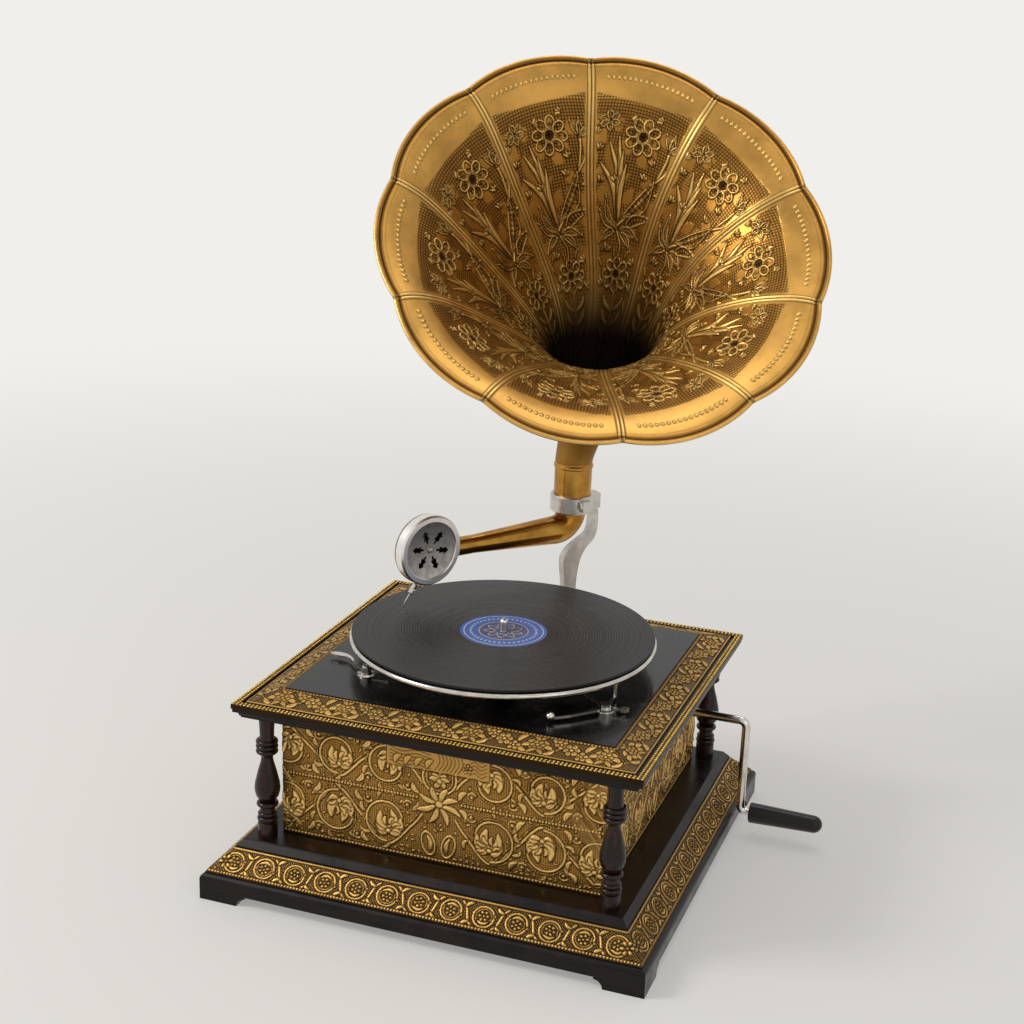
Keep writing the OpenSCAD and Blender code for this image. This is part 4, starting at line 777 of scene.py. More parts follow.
@dataclass(frozen=True)
class Shellac:
    """Pressed shellac with fine grooves, darker and duller in bands between the tunes."""

    name: str = "pressed_shellac"
    colour: str = "#0d0a09"
    fleck: str = "#1f1a17"
    groove_mm: float = 2.3
    bands_mm: float = 2.4

    def material(self) -> bpy.types.Material:
        """Builds the material, with the grooves drawn nine times too wide so that they show."""
        mat, shader = start_material(
            self.name, IOR=1.5, Specular_IOR_Level=0.27, Anisotropic=0.6
        )
        tree = mat.node_tree
        co = add_node(tree, "TexCoord").outputs["Object"]
        flat = add_node(tree, "VectorMath", {"operation": "MULTIPLY"}, {
            0: co, 1: (1 / MM, 1 / MM, 0.0),
        }).outputs["Vector"]
        radius = add_node(tree, "VectorMath", {"operation": "LENGTH"}, {0: flat}).outputs["Value"]
        wave = add_node(tree, "Math", {"operation": "SINE"}, {
            0: add_node(tree, "Math", {"operation": "MULTIPLY"}, {
                0: radius, 1: TAU / self.groove_mm,
            }).outputs["Value"],
        }).outputs["Value"]
        ring = add_node(tree, "CombineXYZ", None, {"X": radius}).outputs["Vector"]
        bands = add_node(tree, "TexNoise", None, {
            "Vector": ring, "Scale": 1 / self.bands_mm, "Detail": 3.0, "Roughness": 0.8,
        }).outputs["Fac"]
        tone = add_node(tree, "ValToRGB", {"stops": [
            (0.3, linear(self.colour)), (0.75, linear(self.fleck)),
        ]}, {"Fac": bands}).outputs["Color"]
        tree.links.new(tone, shader.inputs["Base Color"])
        rough = add_node(tree, "MapRange", None, {
            "Value": bands, "From Min": 0.3, "From Max": 0.7, "To Min": 0.2, "To Max": 0.42,
        }).outputs["Result"]
        tree.links.new(rough, shader.inputs["Roughness"])
        way = add_node(tree, "Tangent", {"direction_type": "RADIAL", "axis": "Z"}).outputs["Tangent"]
        tree.links.new(way, shader.inputs["Tangent"])
        bump = add_node(tree, "Bump", None, {
            "Strength": 0.35, "Distance": 0.25 * MM, "Height": wave,
        }).outputs["Normal"]
        tree.links.new(bump, shader.inputs["Normal"])
        return mat


@dataclass(frozen=True)
class PrintedLabel:
    """Coated paper printed blue with a plain gold rosette, a dotted ring and a pale border."""

    name: str = "printed_paper"
    blue: str = "#2f57a8"
    deep: str = "#23417f"
    gold: str = "#c2a25c"
    pale: str = "#b9c4dc"
    fibre_mm: float = 0.8

    def material(self) -> bpy.types.Material:
        """Builds the material from rings and a rosette about the spindle, in millimetres."""
        mat, shader = start_material(self.name, Roughness=0.42, Coat_Weight=0.2)
        tree = mat.node_tree
        co = add_node(tree, "TexCoord").outputs["Object"]
        parts = add_node(tree, "SeparateXYZ", None, {"Vector": co}).outputs
        made = {"across": parts[0], "along": parts[1]}
        sums = [
            ("x", "DIVIDE", "across", MM), ("y", "DIVIDE", "along", MM),
            ("xx", "MULTIPLY", "x", "x"), ("yy", "MULTIPLY", "y", "y"),
            ("square", "ADD", "xx", "yy"), ("radius", "SQRT", "square"),
            ("angle", "ARCTAN2", "y", "x"), ("nine", "MULTIPLY", "angle", 9.0),
            ("lobes", "COSINE", "nine"), ("curve", "MULTIPLY_ADD", "lobes", 2.6, 13.5),
            ("small", "MULTIPLY_ADD", "lobes", -1.3, 8.2),
        ]
        # Each printed line: its name, its radius and half its width
        for line, at, half in (("rosette", "curve", 0.75), ("heart", "small", 0.6),
                               ("gold_ring", 20.5, 0.5), ("dot_line", 27.5, 1.1), ("edge", 33.2, 0.45)):
            sums += [
                (line + "_off", "SUBTRACT", "radius", at), (line + "_far", "ABSOLUTE", line + "_off"),
                (line, "LESS_THAN", line + "_far", half),
            ]
        sums += [
            ("beat", "MULTIPLY", "angle", 42.0), ("wave", "COSINE", "beat"),
            ("dots", "GREATER_THAN", "wave", 0.1), ("dot_ring", "MULTIPLY", "dots", "dot_line"),
            ("inner", "LESS_THAN", "radius", 20.0), ("petals", "MAXIMUM", "rosette", "heart"),
            ("gilt", "MAXIMUM", "petals", "gold_ring"), ("bright", "MAXIMUM", "dot_ring", "edge"),
        ]
        for key, operation, *values in sums:
            inputs = {k: made.get(value, value) for k, value in enumerate(values)}
            made[key] = add_node(tree, "Math", {"operation": operation}, inputs).outputs["Value"]
        tone = linear(self.blue)
        for factor, ink in (("inner", self.deep), ("gilt", self.gold), ("bright", self.pale)):
            tone = add_node(tree, "Mix", {"data_type": "RGBA"}, {
                "Factor": made[factor], "A": tone, "B": linear(ink),
            }).outputs["Result"]
        tree.links.new(tone, shader.inputs["Base Color"])
        fibre = add_node(tree, "TexNoise", None, {
            "Vector": co, "Scale": 1 / (self.fibre_mm * MM), "Detail": 3.0,
        }).outputs["Fac"]
        bump = add_node(tree, "Bump", None, {
            "Strength": 0.08, "Distance": 0.2 * MM, "Height": fibre,
        }).outputs["Normal"]
        tree.links.new(bump, shader.inputs["Normal"])
        return mat


class Finishes:
    """The materials, each built once and looked up by name."""

    def __init__(self) -> None:
        """Builds every material."""
        kinds = [
            # Antique brass of the horn: satin gold with brown in the chased lines, and near black where
            # shade is painted in the throat and under the rim
            ChasedBrass("antique_brass_horn", "#efc472", "#bb8537", "#915f26", "#150a04", 0.24, 0.55,
                        mark_mm=2.6, marks=0.74),
            # Pressed brass of the cabinet, duller and darker in its ground
            ChasedBrass("pressed_brass_panel", "#f3c778", "#c29146", "#7d5926", "#241508", 0.22, 0.52,
                        30.0, 0.8, 0.3, mark_mm=1.9, marks=0.5),
            # Pressed brass of the bands, blackened in its ground
            ChasedBrass("pressed_brass_band", "#dfb468", "#a37a3a", "#33220f", "#130a05", 0.3, 0.75,
                        30.0, 0.8, 0.3, mark_mm=2.1, marks=0.85, dotted=True),
            # Lacquered cartridge brass of the tone arm, burnished
            Metal("burnished_brass", "#c08f42", "#9c6c2c", 0.18, 0.1, 26.0, 0.02, 3.0),
            # Nickel plate on turned and bent steel, bright
            Metal("nickel_plate", "#dedad3", "#c2bdb4", 0.12, 0.1, 14.0, 0.02, 2.0),
            # Drawn and turned steel
            Metal("bright_steel", "#a9abac", "#84868a", 0.26, 0.12),
            # Blued spring steel
            Metal("blued_steel", "#4d5a70", "#39424f", 0.28, 0.1),
            # Cut gear brass
            Metal("cut_brass", "#bb9a50", "#99783a", 0.28, 0.14),
            # Cast white metal of the support arm, polished over a pitted skin
            Metal("cast_white_metal", "#cfccc6", "#b4b0a9", 0.26, 0.12, 14.0, 0.12, 6.0),
            # Nickel silver of the grille, satin
            Metal("satin_grille", "#d9d4cc", "#aca69d", 0.24, 0.14, 8.0, 0.1, 0.9),
            # Brushed nickel plate of the ring: a broad soft shine
            Metal("satin_nickel_ring", "#f6f3ee", "#eae6df", 0.3, 0.06, 16.0, 0.02, 2.0),
            # Struck brass of the rim's beads, rubbed bright
            Metal("struck_brass_beads", "#dcb963", "#b8923f", 0.3, 0.14, 6.0, 0.08, 1.6),
            # Hardwood under black-brown lacquer
            Lacquer("lacquered_hardwood", "#0b0706", "#26160e", 0.26, coat=0.06, shine=0.2),
            # Turned hardwood columns, with the grain upright
            Lacquer("lacquered_turning", "#130a07", "#3a2014", 0.18, (4.0, 4.0, 40.0), 0.12, shine=0.24),
            # Black gloss board of the motor
            Lacquer("gloss_black_board", "#070606", "#0f0d0d", 0.14, (60.0, 5.0, 5.0), 0.1, 0.04),
            # Turned black grip
            Lacquer("black_grip", "#080706", "#140f0d", 0.2, (30.0, 3.0, 3.0), 0.1, 0.05),
            # Pressed wool felt of the mat: matt, with a soft edge of light
            PlainStuff("wool_felt", "#1d2a22", "#2c3b31", 0.95, 0.7, 0.5, 0.4),
            # Moulded black rubber of the bushings: matt, faintly dusty
            PlainStuff("black_rubber", "#17171a", "#222226", 0.75, 1.0, 0.2),
            # Split mica, clear amber flakes
            PlainStuff("split_mica", "#1f1811", "#2d241a", 0.18, 6.0, 0.1, 0.0, 0.55),
            # Shellac pressed with its grooves: black, with a fan of light
            Shellac(),
            # Coated paper printed in blue, gold and pale blue: half gloss
            PrintedLabel(),
        ]
        self.by_name = {kind.name: kind.material() for kind in kinds}

    def dress(self, obj: bpy.types.Object, name: str) -> None:
        """Gives an object one material.

        Args:
            obj: The piece or the solid.
            name: The material's name.
        """
        if not obj.material_slots:
            obj.data.materials.append(self.by_name[name])
        for slot in obj.material_slots:
            slot.material = self.by_name[name]


@dataclass
class Workshop:
    """Where pieces are finished: dressed, tied to a body and reported."""

    finishes: Finishes
    pieces: int = 0

    def place(self, obj: bpy.types.Object, finish: str, body: str, slot: str, node: str) -> None:
        """Finishes one new piece.

        Args:
            obj: The piece.
            finish: Name of its material.
            body: The body that it rides on.
            slot: The record's material slot; not used.
            node: The node that it stands for.
        """
        self.finishes.dress(obj, finish)
        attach(obj, body)
        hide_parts(node)
        self.pieces += 1
        log.info("%s: %d vertices, %s, rides on %s", obj.name, len(obj.data.vertices), finish, body)


@dataclass
class Horn:
    """The flower horn: ten chased petals, the throat and the rolled rim."""

    mouth: tuple[float, float, float] = (45.5, 90.2, 512.6)
    turn: float = math.radians(26.4)
    tilt: float = math.radians(41.3)
    mouth_reach: float = 137.7
    elbow: tuple[float, float, float] = (34.4, 194.0, 420.0)
    neck: tuple[float, float, float] = (0.0, 174.0, 298.0)
    neck_reach: float = 21.8
    section: tuple = ((0.0, 180.75), (0.01, 99.36), (0.45, 15.5), (1.0, 16.0))
    petals: int = 10
    bulge: float = 0.032
    petal_end: float = 0.86
    sheet_t: float = 1.0
    rim_r: float = 1.6
    cols: int = 145

    def __post_init__(self) -> None:
        """Works out the mouth's directions and the axis's handles."""
        st, ct, sl, cl = (math.sin(self.turn), math.cos(self.turn), math.sin(self.tilt),
                          math.cos(self.tilt))
        self.way = np.array([st * cl, -ct * cl, sl])
        self.up = np.array([-st * sl, ct * sl, cl])
        mouth, neck = np.array(self.mouth), np.array(self.neck)
        self.path = np.array([
            mouth, mouth - self.mouth_reach * self.way, self.elbow,
            neck + [0, 0, self.neck_reach], neck,
        ])
        u = np.linspace(0, 1, 4000)
        self.share = u
        at, radius = self.section_at(u)
        axis = self.axis_at(at)
        steps = np.hypot(np.linalg.norm(np.diff(axis, axis=0), axis=1), np.diff(radius))
        self.length = np.concatenate([[0], np.cumsum(steps)])
        self.radius = radius

    def section_at(self, u: np.ndarray) -> tuple[np.ndarray, np.ndarray]:
        """Gives the share of the axis and the radius at shares of the sheet."""
        h = self.section
        w = ((1 - u) ** 3, 3 * u * (1 - u) ** 2, 3 * u * u * (1 - u), u**3)
        return (sum(k * p[0] for k, p in zip(w, h)), sum(k * p[1] for k, p in zip(w, h)))

    def section_slope(self, u: np.ndarray) -> tuple[np.ndarray, np.ndarray]:
        """Gives the slopes of the share of the axis and of the radius."""
        h = self.section
        w = (3 * (1 - u) ** 2, 6 * u * (1 - u), 3 * u * u)
        return tuple(sum(k * (b[j] - a[j]) for k, a, b in zip(w, h, h[1:])) for j in (0, 1))

    def axis_at(self, v: np.ndarray) -> np.ndarray:
        """Gives points of the curved axis at shares of it."""
        p = self.path
        return sum(math.comb(4, k) * (v**k * (1 - v) ** (4 - k))[..., None] * p[k] for k in range(5))

    def axis_slope(self, v: np.ndarray) -> np.ndarray:
        """Gives the slope of the curved axis at shares of it."""
        d = np.diff(self.path, axis=0)
        return 4 * sum(math.comb(3, k) * (v**k * (1 - v) ** (3 - k))[..., None] * d[k] for k in range(4))

    def surface(
        self, u: np.ndarray, a: np.ndarray, swell: np.ndarray | float = 1.0,
        along: np.ndarray | float = 0.0, out: np.ndarray | float = 0.0,
    ) -> np.ndarray:
        """Gives points of the horn.

        Args:
            u: Share of the sheet from the rim to the neck.
            a: Angle clockwise from the top, seen from the front.
            swell: Factor on the radius.
            along: Distance along the sheet towards the neck.
            out: Distance behind the sheet's inner face.

        Returns:
            Points in millimetres.
        """
        v, radius = self.section_at(u)
        dv, dr = self.section_slope(u)
        slope = self.axis_slope(v)
        size = np.linalg.norm(slope, axis=-1, keepdims=True)
        d = slope / size
        up = self.up - d * (d @ self.up)[..., None]
        up /= np.linalg.norm(up, axis=-1, keepdims=True)
        ray = np.cos(a)[..., None] * up + np.sin(a)[..., None] * np.cross(d, up)
        run, rise = size[..., 0] * dv, dr
        norm = np.hypot(run, rise)
        run, rise = run / norm, rise / norm
        return (self.axis_at(v) + d * (along * run - out * rise)[..., None]
                + ray * (radius * swell + along * rise + out * run)[..., None])

    def petal_relief(self) -> Relief:
        """Chases one petal, with x across it and y the distance from its edge."""
        r = Relief((-60.0, 0.0), (60.0, 320.0), 0.5)
        foot = (-5.0, 136.0)
        for k, (x, y, bend) in enumerate([
            (-27, 84, 0.1), (-22, 67, 0.07), (-15, 62, 0.03), (-9, 74, -0.01), (-4, 84, -0.03),
        ]):
            r.leaf((foot[0] + 0.5 * k, 130.0), (x, y), 4.4, bend, 1.05)
        for k in range(6):
            a = math.radians(-170 + 62 * k)
            r.outlined_leaf((-26, 50), (-26 + 11 * math.cos(a), 50 + 10 * math.sin(a)), 5.6, 0.05, 1.1)
        r.ridge([foot, (10, 118), (22, 98), (29, 76), (31, 62)], 2.2, 1.1)
        for dx, dy, wide in ((-6, -14, 5.2), (2, -16, 5.4), (9, -10, 5.0)):
            r.outlined_leaf((30, 64), (30 + dx, 64 + dy), wide, 0.06, 1.1)
        r.ridge([(23, 94), (31, 83), (36, 74)], 1.6, 1.0)
        self.dotted_leaf(r, (-1, 128), (23, 92), 13.0, 0.12)
        self.dotted_leaf(r, (2, 137), (27, 122), 9.0, -0.12)
        for x, y, wide, bend in ((17, 141, 7.0, -0.12), (11, 151, 5.6, -0.1), (-18, 147, 6.0, 0.12),
                                 (-21, 122, 5.4, -0.1), (-17, 110, 4.6, -0.12)):
            r.outlined_leaf((-3, 137), (x, y), wide, bend, 1.05)
        r.outlined_flower((5.0, 60.0), 16.0, 8, 0.2, 1.2)
        r.outlined_flower((0.0, 168.0), 12.0, 8, 0.0, 1.1)
        r.ridge([(-3, 138), (1, 148), (0, 157)], 1.6, 0.9)
        for y, x in ((186, 9), (196, 8), (207, 7), (217, 6)):
            for s in (-1, 1):
                r.leaf((s * 0.8, y + 6), (s * x, y - 4), 3.2, 0.12 * s, 1.0, False)
        r.ridge([(0, 180), (0, 236)], 1.3, 0.9)
        rng = np.random.default_rng(3)
        for y in np.arange(150, 296, 3.4):
            wide = 0.8 * math.pi / self.petals * np.interp(y, self.length, self.radius) - 2
            for _ in range(3):
                x, lean = rng.uniform(-wide, wide), rng.uniform(-1.4, 1.4)
                rows, cols = r.window(np.array([[x, y]]), 1.5)
                if r.height[rows, cols].max() < 0.3:
                    r.ridge([(x - lean, y - 2.4), (x + lean, y + 2.4)], 1.3, 0.8)
        for x, y, turn in ((-37, 60, 60), (-31, 74, 75), (18, 80, 110), (12, 94, 80), (-12, 100, 95),
                           (-25, 100, 70), (30, 104, 120), (-12, 152, 60), (14, 160, 130), (-13, 176, 100),
                           (13, 178, 80), (-8, 48, 20), (18, 44, 150)):
            for lean in (-38, 0, 38):
                a = math.radians(turn + lean)
                r.leaf((x, y), (x + 5.5 * math.cos(a), y - 5.5 * math.sin(a)), 2.4, 0.1, 0.95, False)
        self.stipple(r)
        return r

    def dotted_leaf(
        self, r: Relief, foot: Point, tip: Point, width: float, bend: float
    ) -> None:
        """Chases a broad leaf whose outline holds rows of punched holes.

        Args:
            r: The sheet.
            foot: Where it grows from.
            tip: Its point.
            width: Its greatest width.
            bend: Sideways bow as a share of its length.
        """
        r.outlined_leaf(foot, tip, width, bend, 1.1)
        way = np.array(tip, float) - np.array(foot, float)
        side = np.array([-way[1], way[0]])
        unit = side / np.linalg.norm(side)
        for t in np.linspace(0.22, 0.8, 7):
            bow = 4 * t * (1 - t)
            for s in (-0.62, -0.24, 0.24, 0.62):
                at = np.array(foot) + t * way + side * bend * 0.8 * bow + s * 0.36 * width * bow * unit
                r.pit(tuple(at), 0.85, 0.45)

    def stipple(self, r: Relief) -> None:
        """Marks the bare ground between the flowers for punching, up to a straight upper edge.

        Args:
            r: The petal's sheet.
        """
        gx, gy = np.meshgrid(r.x, r.y)
        field = ramp01(gy - (33.5 - 7 * (gx / 46) ** 2), 0, 0.8)
        bare = ramp01(0.3 - r.height, 0.0, 0.15)
        blades = [((-13, 98), 9.0, 26.0), ((-21, 76), 3.0, 10.0), ((13, 112), 4.0, 9.0)]
        calm = np.zeros_like(gx)
        for at, wide, high in blades:
            far = np.hypot((gx - at[0]) / wide, (gy - at[1]) / high)
            calm = np.maximum(calm, ramp01(1.2 - far, 0, 0.3))
        cloud = np.sin(0.29 * gx + 1.1 * np.sin(0.13 * gy)) * np.sin(0.21 * gy + 0.9 * np.sin(0.17 * gx))
        patch = np.maximum(ramp01(cloud, -0.42, -0.05), ramp01(47 - gy, 0, 3))
        fade = 1 - 0.6 * ramp01(gy, 90, 200)
        r.hatch = field * bare * fade * patch * (1 - 0.7 * calm)
        r.dark = np.maximum(r.dark, 0.14 * field * bare * patch * (1 - 0.5 * calm))

    def dashes(self, qq: np.ndarray, ss: np.ndarray, half: np.ndarray) -> tuple[np.ndarray, np.ndarray]:
        """Strikes the row of dashes that follows the petal's edge.

        Args:
            qq: Place across the petal from -1 to 1.
            ss: Distance from the petal's edge.
            half: Half width of the petal there.

        Returns:
            Height and patina of the dashes.
        """
        count = 17
        lane = (qq * 0.5 / 0.76 + 0.5) * count
        inside = np.abs(qq) < 0.76
        dx = (lane % 1 - 0.5) * 2 * 0.76 * half / count
        far = np.hypot(dx / 1.35, (ss - 14.5 - 1.2 * (1 - qq**2)) / 1.5)
        return inside * np.clip(1 - far**2, 0, 1) ** 0.5, inside * bell(far, 1.15, 0.25)

    def petal(self, relief: Relief, k: int) -> bpy.types.Object:
        """Lays the chased sheet on one petal.

        Args:
            relief: The chased sheet.
            k: Number of the petal, clockwise from the top.

        Returns:
            The petal.
        """
        end = float(np.interp(self.petal_end, self.share, self.length))
        along = np.concatenate([
            np.linspace(0, 6, 9)[:-1], np.linspace(6, 29, 26)[:-1], np.linspace(29, 190, 190)[:-1],
            np.linspace(190, end, 64),
        ])
        q = np.linspace(-1, 1, self.cols)
        u = np.interp(along, self.length, self.share)
        uu, qq = np.meshgrid(u, q, indexing="ij")
        ss = np.meshgrid(along, q, indexing="ij")[0]
        radius = np.interp(ss, self.length, self.radius)
        half = math.pi / self.petals * radius
        height, dark, hatch = relief.sample(qq * half, ss)
        edge = (1 - np.abs(qq)) * half
        struck, ring = self.dashes(qq, ss, half)
        narrow = np.clip(radius / 70, 0.35, 1)
        inner = ramp01(edge, 4.0 * narrow, 5.4 * narrow)
        hatch = hatch * ramp01(edge, 5.0 * narrow, 5.8 * narrow)
        height, dark = height * inner + 0.8 * struck, dark * inner
        dark = np.maximum(dark, 0.55 * ring)
        height = height + 0.8 * narrow * bell(edge, 1.7, 0.8)
        dark = np.maximum(dark, 0.95 * np.clip(1 - edge / 0.7, 0, 1))
        dark = np.maximum(dark, 0.75 * bell(edge, 3.2, 0.55))
        # A groove just inside the rim, darkened as painted shade cast by the rolled rim
        height = height - 0.8 * bell(ss, 2.2, 1.0)
        dark = np.maximum(dark, 0.9 * bell(ss, 1.5, 1.3))
        dark = np.maximum(dark, 0.3 * bell(ss, 6.0, 0.5))
        # Darker and darker deeper down towards the throat: painted shade inside the horn
        dark = np.maximum(dark, 0.2 * ramp01(ss, 80, 160) + 0.8 * ramp01(ss, 152, 212))
        scale = 0.55 + 0.45 * np.clip(radius / 90, 0, 1)
        swell = 1 + self.bulge * (1 - uu) ** 3 * (1 - qq**2)
        angle = (k + 0.5) * TAU / self.petals + qq * math.pi / self.petals
        points = self.surface(uu, angle, swell, 0.0, -1.1 * height * scale)
        tone = np.clip(0.5 + 0.66 * height - 0.22 * ramp01(ss, 31, 37) * ramp01(edge, 4, 9), 0, 1)
        chart = np.stack([qq * half, ss, hatch], -1)
        obj = sheet_object(f"horn_petal_{k + 1}", points, tone, np.clip(dark, 0, 1), chart=chart)
        self.facing(obj, True)
        return obj

    def shell(self, relief: Relief) -> bpy.types.Object:
        """Makes the horn's outer face, with the back of the chasing and a soldered ridge per seam.

        Args:
            relief: The chased sheet of one petal.

        Returns:
            The outer face.
        """
        end = float(np.interp(self.petal_end, self.share, self.length))
        along = np.concatenate([np.linspace(0, 30, 10)[:-1], np.linspace(30, end, 150)])
        a = np.linspace(0, TAU, self.petals * 58 + 1)
        u = np.interp(along, self.length, self.share)
        uu, aa = np.meshgrid(u, a, indexing="ij")
        ss = np.meshgrid(along, a, indexing="ij")[0]
        qq = (aa * self.petals / TAU) % 1 * 2 - 1
        edge = (1 - np.abs(qq)) * math.pi / self.petals * np.interp(ss, self.length, self.radius)
        ridge = bell(edge, 0.0, 1.6)
        swell = 1 + self.bulge * (1 - uu) ** 3 * (1 - qq**2)
        across = qq * math.pi / self.petals * np.interp(ss, self.length, self.radius)
        pressed, _, _ = relief.sample(across, ss)
        pressed = 0.45 * np.clip(pressed, 0, 1) * ramp01(edge, 4, 6)
        points = self.surface(uu, aa, swell, 0.0, self.sheet_t * (0.9 + 0.5 * ridge) + pressed)
        dark = 0.3 + 0.3 * ramp01(ss, 60, 240) + 0.3 * bell(edge, 2.6, 1.0)
        tone = 0.32 + 0.3 * ridge + 0.8 * pressed
        obj = sheet_object("horn_outer_face", points, tone, dark, None, (False, True))
        self.facing(obj, False)
        return obj

    def facing(self, obj: bpy.types.Object, inwards: bool) -> None:
        """Turns a sheet's faces towards the horn's axis or away from it.

        Args:
            obj: The sheet.
            inwards: Whether they face the axis.
        """
        face = obj.data.polygons[len(obj.data.polygons) // 2]
        at = np.array(face.center) / MM
        axis = self.axis_at(np.linspace(0, 1, 200))
        near = Vector(axis[np.argmin(np.linalg.norm(axis - at, axis=1))]) * MM
        if (face.normal.dot(near - face.center) > 0) != inwards:
            obj.data.flip_normals()

    def throat(self, inside: bool) -> bpy.types.Object:
        """Makes one face of the narrow sheet between the petals and the neck.

        Args:
            inside: Whether it is the inner face.

        Returns:
            The face, closed round the horn.
        """
        u = np.linspace(self.petal_end - 0.004, 0.9995, 40)
        a = np.linspace(0, TAU, 73)
        uu, aa = np.meshgrid(u, a, indexing="ij")
        points = self.surface(uu, aa, 1.0, 0.0, 0.0 if inside else 0.9 * self.sheet_t)
        # The inner face is near the line colour all over: painted shade deep in the throat
        dark = 0.95 + 0 * uu if inside else 0.62 - 0.34 * ramp01(uu, 0.86, 1.0)
        name = "horn_throat_inner" if inside else "horn_throat_outer"
        obj = sheet_object(name, points, np.full_like(uu, 0.4), dark, None, (False, True))
        self.facing(obj, inside)
        return obj

    def rim(self) -> bpy.types.Object:
        """Makes the edge that is rolled round a wire."""
        a = np.linspace(0, TAU, 401)
        b = np.linspace(0, TAU, 15)
        aa, bb = np.meshgrid(a, b, indexing="ij")
        q = (aa * self.petals / TAU) % 1 * 2 - 1
        zero = np.zeros_like(aa)
        points = self.surface(
            zero, aa, 1 + self.bulge * (1 - q**2),
            -self.rim_r + 0.1 - self.rim_r * np.cos(bb), 0.4 + self.rim_r * np.sin(bb),
        )
        # Lighter at the wire's outer lip and darker where it tucks against the sheet: painted shade in
        # that crease
        tone = 0.55 + 0.25 * np.cos(bb)
        seam = bell(np.abs(q), 1.0, 0.02)
        return sheet_object("horn_rolled_rim", points, tone, 0.7 * seam, None, (True, True))

    def build(self, shop: Workshop) -> None:
        """Makes and places the horn's pieces."""
        relief = self.petal_relief()
        pieces = [(self.petal(relief, k), "horn_petals") for k in range(self.petals)]
        pieces += [(self.shell(relief), "horn_petals"), (self.throat(True), "horn_throat"),
                   (self.throat(False), "horn_throat"), (self.rim(), "horn_rim_wire")]
        for piece, node in pieces:
            shop.place(piece, "antique_brass_horn", "horn", "horn_brass", node)


